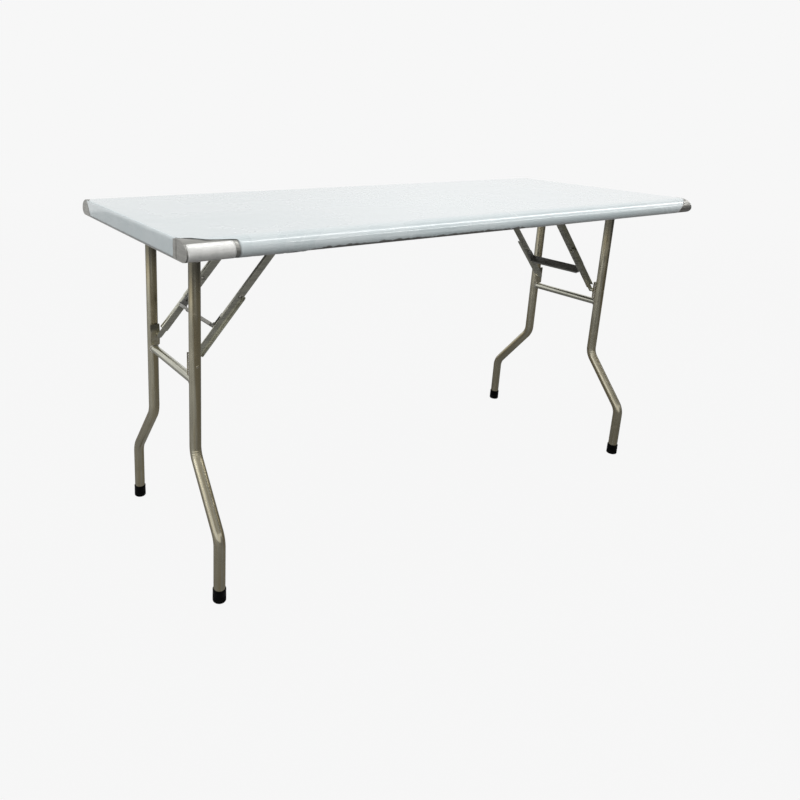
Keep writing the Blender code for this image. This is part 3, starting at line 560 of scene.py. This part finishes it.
def grow(name, tree, points, edges, values, body, vectors=None):
    """A piece that a tree makes from points and edges."""
    seed = bpy.data.meshes.new(name + "_path")
    seed.from_pydata([tuple(point) for point in points], edges, [])
    for label, rows in (vectors or {}).items():
        layer = seed.attributes.new(label, "FLOAT_VECTOR", "POINT")
        layer.data.foreach_set("vector", [part for row in rows for part in row])
    thing = new_object(name, seed)
    modifier = thing.modifiers.new(tree.name, "NODES")
    modifier.node_group = tree
    names = {item.name: item.identifier for item in tree.interface.items_tree if item.in_out == "INPUT"}
    for label, value in values.items():
        modifier[names[label]] = value
    return place_piece(name, baked(thing, name), body)


def chain(points, closed=False):
    """The edges that join points in turn."""
    links = [(i, i + 1) for i in range(len(points) - 1)]
    return links + [(len(points) - 1, 0)] if closed else links


# The shape of the rolled edges
def quarter(centre, reach, start, end, steps):
    """Points on a quarter of an ellipse."""
    return [(centre[0] + reach[0] * math.cos(math.radians(start + (end - start) * i / steps)),
             centre[1] + reach[1] * math.sin(math.radians(start + (end - start) * i / steps)))
            for i in range(steps + 1)]


ROLL_NOSE = TOP_HEIGHT - CROWN_DROP
ROLL_OUTLINE = np.array(
    [(FLAT_EDGE, TOP_HEIGHT)]
    + quarter((HALF_WIDTH - CROWN_RUN, ROLL_NOSE), (CROWN_RUN, CROWN_DROP), 90, 0, 40)
    + quarter((HALF_WIDTH - UNDER_RUN, ROLL_NOSE), (UNDER_RUN, ROLL_NOSE - UNDERSIDE), 0, -90, 24)[1:]
    + [(FLAT_EDGE, UNDERSIDE)])
ROLL_RUN = np.concatenate([[0], np.cumsum(np.hypot(*np.diff(ROLL_OUTLINE, axis=0).T))])


def roll_place(run):
    """The (y, z) at a run round a long edge from the flat top."""
    return np.array([np.interp(run, ROLL_RUN, ROLL_OUTLINE[:, axis]) for axis in (0, 1)])


def on_roll(run, lift):
    """The (y, z) at a run round a long edge, stood off by a lift."""
    y, z = roll_place(run).tolist()
    dy, dz = (roll_place(min(ROLL_RUN[-1], run + 0.001)) - roll_place(max(0.0, run - 0.001))).tolist()
    size = math.hypot(dy, dz)
    return y - dz / size * lift, z + dy / size * lift


def ragged(x, seed, scale):
    """A value from -1 to 1 that wanders along the table."""
    return noise.noise(Vector((x * scale, seed, 0.0)))


def table_of(points_at, rows, columns):
    """Faces of a grid whose points come from a function of two shares."""
    verts = [points_at(j / rows, i / columns) for j in range(rows + 1) for i in range(columns + 1)]
    wide = columns + 1
    faces = [(j * wide + i, j * wide + i + 1, (j + 1) * wide + i + 1, (j + 1) * wide + i)
             for j in range(rows) for i in range(columns)]
    return verts, faces


def sheet_mesh(name, patches, thickness, up=(0, 0, 1), mark=None):
    """Patches joined into one thin sheet, with a mark for its edges where a function gives one."""
    work = bmesh.new()
    for verts, faces in patches:
        made = [work.verts.new(vert) for vert in verts]
        for face in faces:
            work.faces.new([made[i] for i in face])
    bmesh.ops.remove_doubles(work, verts=work.verts, dist=1e-5)
    bmesh.ops.recalc_face_normals(work, faces=work.faces)
    work.normal_update()
    top = max(work.faces, key=lambda face: face.calc_center_median().dot(Vector(up)))
    if top.normal.dot(Vector(up)) < 0:
        bmesh.ops.reverse_faces(work, faces=work.faces)
    if mark:
        layer = work.verts.layers.float.new("film_edge_shading")
        for vert in work.verts:
            vert[layer] = mark(vert.co, any(edge.is_boundary for edge in vert.link_edges))
    mesh = mesh_from(work, name)
    mesh.shade_smooth()
    thing = new_object(name, mesh)
    wall = thing.modifiers.new("thickness", "SOLIDIFY")
    wall.thickness = thickness
    wall.offset = -1
    return baked(thing, name)


class WORKTABLE_OT_film(bpy.types.Operator):
    """Lay the protective film over the top, peeled back at its front left corner."""
    bl_idname = "worktable.film"
    bl_label = "Protective film"

    def execute(self, context):
        film = context.scene.worktable_film
        lift = film.gap + film.thickness
        end = HALF_LENGTH
        flat_end = end - END_BEND
        bare = -end + film.peel
        columns, wall_rows = 300, 8
        wall_top, wall_foot = TOP_HEIGHT - END_BEND, UNDERSIDE + film.hem
        side = quarter((flat_end, wall_top), (END_BEND + lift, END_BEND + lift), 90, 0, 6)
        side += [(end + lift, wall_top - (wall_top - wall_foot) * i / wall_rows)
                 for i in range(1, wall_rows + 1)]
        # From the foot of the left end face, over the top, to the foot of the right one
        spine = [(-x, z) for x, z in reversed(side)]
        spine += [(-flat_end + 2 * flat_end * i / columns, TOP_HEIGHT + lift) for i in range(1, columns)]
        spine += side
        count = len(spine) - 1
        # The film's left and right ends round each long edge, by the run from the flat top
        right_ends = [flat_end, end - 0.006, end - 0.023, end - 0.043, end - 0.054, end - 0.051]
        right_drops = [0, 0.003, 0.0085, 0.020, 0.026, 0.038]
        back_runs = [0, 0.03, 0.05, 0.08]
        ends = {-1: (([0, 0.006, 0.012, 0.030, 0.034, 0.0365],
                      [-flat_end, -end + 0.003, -end + 0.014, -end + 0.045, -end + 0.075, bare]),
                     ([0, 0.028, 0.042, 0.057, 0.064, 0.08], right_ends)),
                1: ((back_runs, [-flat_end, -end + 0.012, -end + 0.02, -end + 0.016]),
                    (back_runs, [flat_end, end - 0.01, end - 0.03, end - 0.026]))}
        full_run, torn_off, torn_wander = 0.087, 0.0172, 0.0030
        crumple_at, crumple_reach = -0.47, 0.045

        def flat_point(v, u):
            """A point over the flat top and down its end faces."""
            x, z = spine[round(u * count)]
            y = (2 * float(np.interp(v, [0, 1 / 24, 23 / 24, 1], [0, 0.004, 0.996, 1])) - 1) * FLAT_EDGE
            drop = (TOP_HEIGHT - z) / (TOP_HEIGHT - UNDERSIDE)
            if x < -flat_end and y > 0.9 * FLAT_EDGE and drop > 0.02:
                reach = CROWN_RUN * math.sqrt(max(0.0, 1 - max(0.0, (z - ROLL_NOSE) / CROWN_DROP) ** 2))
                share = (y / FLAT_EDGE - 0.9) / 0.1
                y += share * FLAT_EDGE * min(0.07 - 0.123 * drop, reach / FLAT_EDGE)
            return x, y, z

        def torn(x):
            """1 along the stretch where the film's lower edge is torn, 0 beyond it."""
            return float(np.interp(x, [-0.66, -0.57, 0.05, 0.14], [0, 1, 1, 0]))

        def roll_patch(y_side):
            """The film round one long edge."""
            def point(v, u):
                x = end * (2 * u - 1)
                low_edge = full_run
                if y_side < 0:
                    low_edge -= torn(x) * (torn_off - torn_wander * ragged(x, 2.2, 75))
                run = low_edge * v
                left, right = [float(np.interp(run, *border)) for border in ends[y_side]]
                x = left + (right - left) * u
                free = max(0.0, (v - 0.86) / 0.14)
                tear = 0.5 + 0.5 * ragged(x, 3.1 + y_side, 55) + 0.35 * ragged(x, 9.7, 210)
                hang = film.fringe * free * max(0.0, tear) * torn(x)
                edge = min(1.0, min(x - left, right - x) / 0.010)
                curl = 0.0
                if y_side < 0 and 0.010 < run < 0.045 and x < bare + 0.02:
                    curl = (1 - edge) * (0.0006 + 0.0009 * max(0.0, ragged(x, 5.0, 90)))
                y, z = on_roll(run + 0.004 * free * ragged(x, 7.7, 130), lift + curl + hang)
                return x, y * y_side, z
            return table_of(point, 44, columns)

        def painted_edge_light(place, free):
            """-1 for painted shadow in the torn stretch, 0 for painted shade at an edge, 1 over the film, and
            up to 2 for white at the crumple and a painted highlight by the right end.
            """
            # Painted shadow on the torn stretch of the lower front edge, with white at the crumple
            if place.y < -FLAT_EDGE and place.z < UNDERSIDE + 0.0055 and torn(place.x) >= 1:
                if abs(place.x - crumple_at) < crumple_reach:
                    return 1.9
                if place.z < UNDERSIDE + 0.0030:
                    return -1.0 if free or ragged(place.x, 4.4, 60) > 0.1 else 1.0
            # Painted highlight along the film's edge beside the front right cap
            if place.y < -FLAT_EDGE + 0.001 and place.x > end - 0.07:
                right = float(np.interp(TOP_HEIGHT - place.z, right_drops, right_ends))
                return 1 + max(0.0, min(1.0, 1 - (right - place.x - 0.003) / 0.008))
            # Painted shade along the other free edges
            return 0.0 if free else 1.0

        patches = [table_of(flat_point, 24, count), roll_patch(-1), roll_patch(1)]
        mesh = sheet_mesh("protective_film", patches, film.thickness, mark=painted_edge_light)
        place_piece("protective_film", mesh, "table_top", "film")
        return {"FINISHED"}


class WORKTABLE_OT_sheet(bpy.types.Operator):
    """Finish the folded top, its end caps and the laps beside them, its rails and brackets."""
    bl_idname = "worktable.sheet"
    bl_label = "Bare sheet"

    def execute(self, context):
        closed_copy("top_sheet", "folded_top", "sheet")
        low, high = UNDERSIDE + 0.0006, TOP_HEIGHT - 0.0016
        lap_size = Matrix.Diagonal((0.0008, 0.0135, high - low, 1))
        proud = 0.0002
        for x_side, y_side, corner in CORNERS:
            for node, name, finish, slot, sharp_angle in (
                    ("edge_cap_", "end_cap_", "cap", "bare_steel", 38),
                    ("leg_bracket_", "pivot_bracket_", "bracket", "bracket_steel", 38),
                    ("brace_bracket_", "brace_holder_", "bracket", "bracket_steel", 38),
                    ("leg_pin_", "leg_pin_head_", "rivet", "rivet_steel", 50),
                    ("brace_pin_", "brace_pin_head_", "rivet", "rivet_steel", 50)):
                closed_copy(node + corner, name + corner, finish, sharp_angle)
            if corner == "back_left":
                # This cap has no lap over the end face
                continue
            work = bmesh.new()
            bmesh.ops.create_cube(work, size=1.0)
            middle = (x_side * (HALF_LENGTH + proud), y_side * (FLAT_EDGE + proud), (low + high) / 2)
            work.transform(Matrix.Translation(middle) @ lap_size)
            bmesh.ops.bevel(work, geom=work.edges, offset=0.0003, segments=2, affect="EDGES")
            name = "cap_lap_" + corner
            place_piece(name, mesh_from(work, name, 38), "table_top", "cap")
        for side in ("front", "back"):
            closed_copy("rail_" + side, "hat_rail_" + side, "rail")
        return {"FINISHED"}


class WORKTABLE_OT_label(bpy.types.Operator):
    """Put the blank foil label on the bare end of the front edge."""
    bl_idname = "worktable.label"
    bl_label = "Blank label"

    def execute(self, context):
        film = context.scene.worktable_film
        left, right = -HALF_LENGTH + 0.003, -HALF_LENGTH + film.peel - 0.0085
        first, last, round_off = 0.0385, 0.103, 0.004

        def point(v, u):
            run = first + (last - first) * v
            inset = 0.0
            for border in (run - first, last - run):
                if border < round_off:
                    inset = round_off - math.sqrt(max(0.0, round_off ** 2 - (round_off - border) ** 2))
            x = left + inset + (right - left - 2 * inset) * u
            y, z = on_roll(run, 0.00022)
            return x, -y, z

        mesh = sheet_mesh("blank_label", [table_of(point, 60, 24)], 0.0002, up=(0, -1, 0))
        place_piece("blank_label", mesh, "table_top", "foil")
        return {"FINISHED"}


def leg_points(x_side, y_side):
    """The centre line of a leg, closely spaced through its bends, and the inner side of each bend."""
    upper, lower = BEND_HEIGHTS
    corners = [Vector((HEAD_SPREAD, LEG_HIGH.z)), Vector((HEAD_SPREAD, upper)),
               Vector((FOOT_SPREAD, lower)), Vector((FOOT_SPREAD, LEG_LOW.z))]
    straight_steps, bend_steps, foot_steps = 24, 32, 12
    points, inside = [], []

    def straight(start, end, steps):
        """Points along a straight stretch, without its last."""
        for i in range(steps):
            points.append(start.lerp(end, i / steps))
            inside.append((0.0, 0.0, 0.0))

    last = corners[0]
    for before, corner, after in zip(corners, corners[1:], corners[2:]):
        arrive, leave = (before - corner).normalized(), (after - corner).normalized()
        half_turn = arrive.angle(leave) / 2
        inward = (arrive + leave).normalized()
        centre = corner + inward * BEND_RADIUS / math.sin(half_turn)
        run = BEND_RADIUS / math.tan(half_turn)
        start, end = corner + arrive * run, corner + leave * run
        straight(last, start, straight_steps)
        for i in range(bend_steps):
            spoke = (start - centre).lerp(end - centre, i / bend_steps).normalized()
            strength = math.sin(math.pi * i / bend_steps) ** 2
            points.append(centre + spoke * BEND_RADIUS)
            inside.append((0.0, -spoke.x * y_side * strength, -spoke.y * strength))
        last = end
    straight(last, corners[-1], foot_steps)
    points.append(corners[-1])
    inside.append((0.0, 0.0, 0.0))
    return [(LEG_AT[x_side], point.x * y_side, point.y) for point in points], inside


class WORKTABLE_OT_legs(bpy.types.Operator):
    """Sweep the leg tubes, with creases in their bends and a seam along each, and the plain ties."""
    bl_idname = "worktable.legs"
    bl_label = "Leg frames"

    def execute(self, context):
        detail = context.scene.worktable_detail
        tree = sweep_tree()
        for x_side, y_side, corner in CORNERS:
            body = LEG_BODY[x_side]
            points, inside = leg_points(x_side, y_side)
            values = {"Radius": TUBE_RADIUS, "Sides": detail.tube_sides, "Crease height": detail.crease,
                      "Crease pitch": 0.0062, "Material": MATERIALS["tube"]}
            leg = grow("leg_" + corner, tree, points, chain(points), values, body,
                       {"bend_inside": inside})
            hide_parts("leg_tube_" + corner)
            seam = [(x - x_side * (TUBE_RADIUS - 0.0003), y, z) for x, y, z in points]
            values = {"Radius": detail.seam, "Sides": 8, "Material": MATERIALS["tube"]}
            grow("seam_" + corner, tree, seam, chain(seam), values, body)
        reach = HEAD_SPREAD - 0.006
        for x_side, end in END_NAME.items():
            points = [(LEG_AT[x_side], reach * (2 * i / 60 - 1), TIE_HEIGHT) for i in range(61)]
            values = {"Radius": TIE_RADIUS, "Sides": detail.tube_sides, "Material": MATERIALS["tie"]}
            tie = grow("tie_" + end, tree, points, chain(points), values, LEG_BODY[x_side])
            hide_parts("leg_tie_" + end)
        return {"FINISHED"}


class WORKTABLE_OT_welds(bpy.types.Operator):
    """Run weld beads round the ties and beside the lugs."""
    bl_idname = "worktable.welds"
    bl_label = "Welds"

    def execute(self, context):
        detail = context.scene.worktable_detail
        tree = bpy.data.node_groups["round_sweep"]
        values = {"Sides": 10, "Ripple height": detail.bead * 0.22, "Ripple pitch": 0.0024,
                  "Material": MATERIALS["weld"]}
        ring_radius, lug_edge, lug_bead = TIE_RADIUS + 0.0003, 0.0078, 0.0023
        for x_side, y_side, corner in CORNERS:
            middle = LEG_AT[x_side]
            ring = []
            for i in range(72):
                turn = math.tau * i / 72
                across, up = ring_radius * math.cos(turn), ring_radius * math.sin(turn)
                wall = HEAD_SPREAD - math.sqrt(TUBE_RADIUS ** 2 - across ** 2)
                ring.append((middle + across, y_side * (wall - 0.0004), TIE_HEIGHT + up))
            low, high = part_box("leg_lug_" + corner)
            rise = [low.z + 0.0005 + (high.z - low.z - 0.001) * i / 30 for i in range(31)]
            outer, inner = [[(middle + shift, y_side * (HEAD_SPREAD - 0.0118), z) for z in rise]
                            for shift in (-lug_edge, lug_edge)]
            foot = [(middle + 0.0095 * (i / 15 - 1), y_side * (HEAD_SPREAD - 0.0142), low.z - 0.0004)
                    for i in range(31)]
            for name, line, radius in (
                    ("tie_weld_", ring, detail.bead), ("lug_weld_outer_", outer, lug_bead),
                    ("lug_weld_inner_", inner, lug_bead), ("lug_weld_foot_", foot, detail.bead)):
                grow(name + corner, tree, line, chain(line, line is ring), {**values, "Radius": radius},
                     LEG_BODY[x_side])
        return {"FINISHED"}


class WORKTABLE_OT_braces(bpy.types.Operator):
    """Finish the folding braces, their crossbars, lugs and rivets."""
    bl_idname = "worktable.braces"
    bl_label = "Braces"

    def execute(self, context):
        for x_side, _, corner in CORNERS:
            for node, name in (("upper_arm_", "brace_arm_"), ("lower_arm_", "brace_strut_")):
                arm = closed_copy(node + corner, name + corner, "arm_" + END_NAME[x_side], 40)
                rounding = arm.modifiers.new("edges", "BEVEL")
                rounding.width = 0.0003
                rounding.segments = 2
                rounding.limit_method = "ANGLE"
                rounding.harden_normals = True
            closed_copy("elbow_rivet_" + corner, "elbow_head_" + corner, "rivet", 50)
            closed_copy("leg_lug_" + corner, "strut_lug_" + corner, "lug")
        for end in END_NAME.values():
            closed_copy("brace_crossbar_" + end, "crossbar_" + end, "bar")
        return {"FINISHED"}


class WORKTABLE_OT_fasteners(bpy.types.Operator):
    """Set the rivet heads under the brackets and on the legs, and the spot welds of the rails."""
    bl_idname = "worktable.fasteners"
    bl_label = "Fasteners"

    def execute(self, context):
        detail = context.scene.worktable_detail
        tree = stud_tree()
        heads, spots = [], []
        bracket_sheet, rail_sheet, rail_margin = 0.0025, 0.0012, 0.015

        def set_heads(name, points, facing, radius, height, sides, finish, body):
            """A piece of domed heads that face one way."""
            values = {"Radius": radius, "Height": height, "Sides": sides, "Material": MATERIALS[finish]}
            grow(name, tree, points, [], values, body, {"facing": [facing] * len(points)})

        for x_side, y_side, corner in CORNERS:
            low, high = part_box("leg_bracket_" + corner)
            for shift in (-0.015, 0.015):
                heads.append(((low.x + high.x) / 2 + shift, (low.y + high.y) / 2, high.z - bracket_sheet))
            low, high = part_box("brace_bracket_" + corner)
            inner = low.y if y_side > 0 else high.y
            for shift in (-0.010, 0.010):
                heads.append(((low.x + high.x) / 2 + shift, inner + y_side * 0.010, high.z - bracket_sheet))
            low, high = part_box("leg_lug_" + corner)
            spot = (LEG_AT[x_side], y_side * (HEAD_SPREAD + TUBE_RADIUS - 0.0001), (low.z + high.z) / 2)
            set_heads("lug_plug_" + corner, [spot], (0, y_side, 0), 0.0032, 0.0006, 24, "lug",
                      LEG_BODY[x_side])
        for side in ("front", "back"):
            low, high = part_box("rail_" + side)
            run = high.x - low.x - 2 * rail_margin
            count = int(run / detail.spot_pitch)
            for y in (low.y + 0.0055, high.y - 0.0055):
                spots += [(low.x + rail_margin + run * i / count, y, high.z - rail_sheet)
                          for i in range(count + 1)]
        down = (0, 0, -1)
        set_heads("bracket_rivets", heads, down, detail.rivet, 0.0019, 24, "rivet",
                  "table_top")
        set_heads("spot_welds", spots, down, detail.spot, 0.0003, 16, "weld",
                  "table_top")
        return {"FINISHED"}


class WORKTABLE_OT_feet(bpy.types.Operator):
    """Turn the rubber foot caps, with a rolled rim and two grip rings."""
    bl_idname = "worktable.feet"
    bl_label = "Foot caps"

    def execute(self, context):
        outer = (FOOT_HIGH.x - FOOT_LOW.x) / 2
        tall = FOOT_HIGH.z
        inner, rim = 0.0128, 0.003
        outline = [(0, 0.0002), (outer - 0.006, 0.0002), (outer - 0.005, 0), (outer - 0.0034, 0)]
        outline += [(outer - rim + rim * math.sin(math.radians(a)), rim - rim * math.cos(math.radians(a)))
                    for a in (15, 30, 45, 60, 75, 90)]
        for ring in (0.0095, 0.0135):
            outline += [(outer, ring - 0.0012), (outer - 0.0005, ring - 0.0006),
                        (outer - 0.0005, ring + 0.0006), (outer, ring + 0.0012)]
        outline += [(outer - 0.0003, tall - 0.0045), (outer, tall - 0.0038), (outer, tall - 0.0012),
                    (outer - 0.0006, tall - 0.0003), (outer - 0.0012, tall), (inner + 0.0003, tall),
                    (inner, tall - 0.0004), (inner, tall - 0.006)]
        for x_side, y_side, corner in CORNERS:
            work = bmesh.new()
            rows = [work.verts.new((radius, 0, z)) for radius, z in outline]
            edges = [work.edges.new(pair) for pair in zip(rows, rows[1:])]
            bmesh.ops.spin(work, geom=rows + edges, axis=(0, 0, 1), cent=(0, 0, 0), steps=48, angle=math.tau)
            bmesh.ops.remove_doubles(work, verts=work.verts, dist=2e-6)
            bmesh.ops.recalc_face_normals(work, faces=work.faces)
            side_face = max(work.faces, key=lambda face: face.calc_center_median().x)
            if side_face.normal.x < 0:
                bmesh.ops.reverse_faces(work, faces=work.faces)
            work.transform(Matrix.Translation((LEG_AT[x_side], y_side * FOOT_SPREAD, 0)))
            name = "foot_" + corner
            foot = place_piece(name, mesh_from(work, name, 50), LEG_BODY[x_side], "rubber")
            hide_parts("foot_cap_" + corner)
        return {"FINISHED"}


def emptied(owner):
    """The empty node tree of a material or a world."""
    owner.use_nodes = True
    owner.node_tree.nodes.clear()
    return owner.node_tree


def white_rays(tree):
    """1 for the rays that see the plain backdrop: from the camera, or by a reflection or a view through."""
    path = add(tree, "ShaderNodeLightPath").outputs
    onward = math_node(tree, "MAXIMUM", path["Is Glossy Ray"], path["Is Transmission Ray"])
    return math_node(tree, "MAXIMUM", path["Is Camera Ray"], onward)


def distance_out(tree):
    """How far a point is from the middle of the floor."""
    inputs = {0: object_place(tree)}
    return add(tree, "ShaderNodeVectorMath", inputs, operation="LENGTH").outputs["Value"]


class WORKTABLE_OT_studio(bpy.types.Operator):
    """Set the floor, the lamps, the backdrop and the camera."""
    bl_idname = "worktable.studio"
    bl_label = "Studio"

    def execute(self, context):
        scene = context.scene
        studio = scene.worktable_studio
        white_colour = (1, 1, 1, 1)
        material = bpy.data.materials.new("floor")
        tree = emptied(material)
        matte = result(tree, "ShaderNodeBsdfDiffuse", {"Color": rgba(studio.floor)})
        white = result(tree, "ShaderNodeEmission", {"Color": white_colour, "Strength": 1.0})
        glow = scaled(tree, white_rays(tree), studio.glow)
        pale = result(tree, "ShaderNodeMixShader", {0: glow, 1: matte, 2: white})
        behind = add(tree, "ShaderNodeNewGeometry").outputs["Backfacing"]
        gone = math_node(tree, "MAXIMUM", spread(tree, distance_out(tree), 3.0, 7.0), behind)
        clear = result(tree, "ShaderNodeBsdfTransparent")
        whole = result(tree, "ShaderNodeMixShader", {0: gone, 1: pale, 2: clear})
        add(tree, "ShaderNodeOutputMaterial", {0: whole})
        work = bmesh.new()
        bmesh.ops.create_circle(work, cap_ends=True, radius=8.0, segments=96)
        floor = new_object("floor", mesh_from(work, "floor"))
        floor.data.materials.append(material)

        scene.world = bpy.data.worlds.new("backdrop")
        tree = emptied(scene.world)
        level = mixed(tree, white_rays(tree), studio.ambient, studio.backdrop)
        sky = result(tree, "ShaderNodeBackground", {"Color": white_colour, "Strength": level})
        add(tree, "ShaderNodeOutputWorld", {0: sky})

        def lamp(name, place, target, size, power, colour=(1, 1, 1), mirrored=False):
            """A soft lamp aimed at a point, and whether reflections show it."""
            light = bpy.data.lights.new(name, "AREA")
            light.shape = "RECTANGLE"
            light.size, light.size_y = size
            light.energy = power
            light.color = colour
            thing = new_object(name, light)
            thing.location = place
            thing.rotation_euler = (Vector(target) - Vector(place)).to_track_quat("-Z", "Y").to_euler()
            thing.visible_glossy = mirrored

        lamp("key_lamp", (1.2, -2.6, 2.6), (0, 0, 0.5), (1.6, 1.6), studio.key, colour=(1, 0.99, 0.975))
        lamp("side_lamp", (-3.2, 0.4, 1.4), (0, 0, 0.6), (1.6, 1.4), studio.side, mirrored=True)
        lamp("overhead_lamp", (0.0, 0.2, 2.6), (0, 0, 0.7), (2.4, 1.2), studio.overhead)

        def card(name, low, high, near, far, start=0.0, end=1.0, inner=1.0, soft=0.0):
            """A flat card between two corners that only reflections see.

            Its brightness changes along the table, is the inner share of that close to the table, and fades
            into the backdrop over a soft border.
            """
            material = bpy.data.materials.new(name)
            tree = emptied(material)
            axes = add(tree, "ShaderNodeSeparateXYZ", {0: object_place(tree)}).outputs
            level = scaled(tree, spread(tree, axes[0], start, end, near, far),
                           spread(tree, distance_out(tree), 0.9, 1.7, inner, 1.0))
            wide = [axis for axis in range(3) if high[axis] > low[axis]]
            for axis in wide if soft else ():
                for border, inside in ((low[axis], low[axis] + soft), (high[axis], high[axis] - soft)):
                    level = mixed(tree, spread(tree, axes[axis], border, inside), studio.backdrop, level)
            glow = result(tree, "ShaderNodeEmission", {"Color": white_colour, "Strength": level})
            add(tree, "ShaderNodeOutputMaterial", {0: glow})
            corners = [list(low), list(low), list(high), list(high)]
            corners[1][wide[0]], corners[3][wide[0]] = high[wide[0]], low[wide[0]]
            mesh = bpy.data.meshes.new(name)
            mesh.from_pydata(corners, [], [(0, 1, 2, 3)])
            mesh.materials.append(material)
            thing = new_object(name, mesh)
            for ray in ("camera", "diffuse", "transmission", "volume_scatter", "shadow"):
                setattr(thing, "visible_" + ray, False)

        card("dark_card", (-5, -5.5, 0.002), (6, -1.15, 0.002), 0.20, 0.055, 0.5, 3.0)
        card("grey_card", (-2.6, -1.15, 0.002), (6, 5, 0.002), 0.38, 0.23, -1.6, 0.3, inner=0.85)
        card("dark_wall", (5, -6, -1.5), (5, 1.5, 3), 0.20, 0.20, soft=1.4)
        card("front_wall", (-6, -5.5, -1.5), (5, -5.5, 2.6), 0.93, 0.14, -2.5, 3.0, soft=1.4)
        card("back_card", (-6, 5, 1), (6, 5, 3), 0.84, 0.93, 1.5, 5.5, soft=0.5)
        card("ceiling_card", (-5, 0.05, 2.9), (6, 1.05, 2.9), 0.58, 0.58, soft=0.2)
        card("front_ceiling_card", (-5, -5.5, 2.9), (6, -1.95, 2.9), 0.45, 0.22, 0.6, 2.2, soft=0.5)
        for number, left, y in ((1, -1, -0.25), (2, 0.9, -1.74)):
            card(f"strip_card_{number}", (left, y - 0.14, 2.7), (5, y + 0.14, 2.7), 5.0, 5.0)

        camera = bpy.data.cameras.new("camera")
        camera.sensor_width = 36
        camera.lens = studio.focal_length
        camera.shift_x = 0.15122
        camera.shift_y = -0.14302
        thing = new_object("camera", camera)
        yaw, pitch, roll = 0.551282, 0.255543, -0.025403
        ahead = Vector((math.sin(yaw) * math.cos(pitch), math.cos(yaw) * math.cos(pitch), -math.sin(pitch)))
        level_right = Vector((math.cos(yaw), -math.sin(yaw), 0))
        down = ahead.cross(level_right)
        right = math.cos(roll) * level_right + math.sin(roll) * down
        low = -math.sin(roll) * level_right + math.cos(roll) * down
        turn = Matrix((right, -low, -ahead)).transposed().to_4x4()
        thing.matrix_world = Matrix.Translation((-1.230953, -1.365849, 1.018024)) @ turn
        scene.camera = thing
        scene.view_settings.view_transform = "Standard"
        return {"FINISHED"}


class WORKTABLE_PT_panel(bpy.types.Panel):
    """The worktable's pieces in the sidebar."""
    bl_idname = "WORKTABLE_PT_panel"
    bl_label = "Folding worktable"
    bl_space_type = "VIEW_3D"
    bl_region_type = "UI"
    bl_category = "Worktable"

    def draw(self, context):
        for step in STEPS:
            self.layout.operator(step.bl_idname)
        for group in GROUPS:
            self.layout.label(text=group.__doc__)
            holder = getattr(context.scene, GROUPS[group])
            for name in group.__annotations__:
                self.layout.prop(holder, name)


STEPS = (WORKTABLE_OT_film, WORKTABLE_OT_sheet, WORKTABLE_OT_label, WORKTABLE_OT_legs, WORKTABLE_OT_welds,
         WORKTABLE_OT_braces, WORKTABLE_OT_fasteners, WORKTABLE_OT_feet, WORKTABLE_OT_studio)
GROUPS = {FilmSettings: "worktable_film", SteelSettings: "worktable_steel",
          DetailSettings: "worktable_detail", StudioSettings: "worktable_studio"}


def register():
    """Register the classes and give the scene their settings."""
    for kind in (*GROUPS, *STEPS, WORKTABLE_PT_panel):
        bpy.utils.register_class(kind)
    for group, name in GROUPS.items():
        setattr(bpy.types.Scene, name, PointerProperty(type=group))


def unregister():
    """Take the settings and the classes away again."""
    for name in GROUPS.values():
        delattr(bpy.types.Scene, name)
    for kind in reversed((*GROUPS, *STEPS, WORKTABLE_PT_panel)):
        bpy.utils.unregister_class(kind)


def main():
    """Make every piece and the studio."""
    register()
    make_materials(bpy.context.scene)
    for step in STEPS:
        group, name = step.bl_idname.split(".")
        getattr(getattr(bpy.ops, group), name)()


if __name__ == "__main__":
    main()
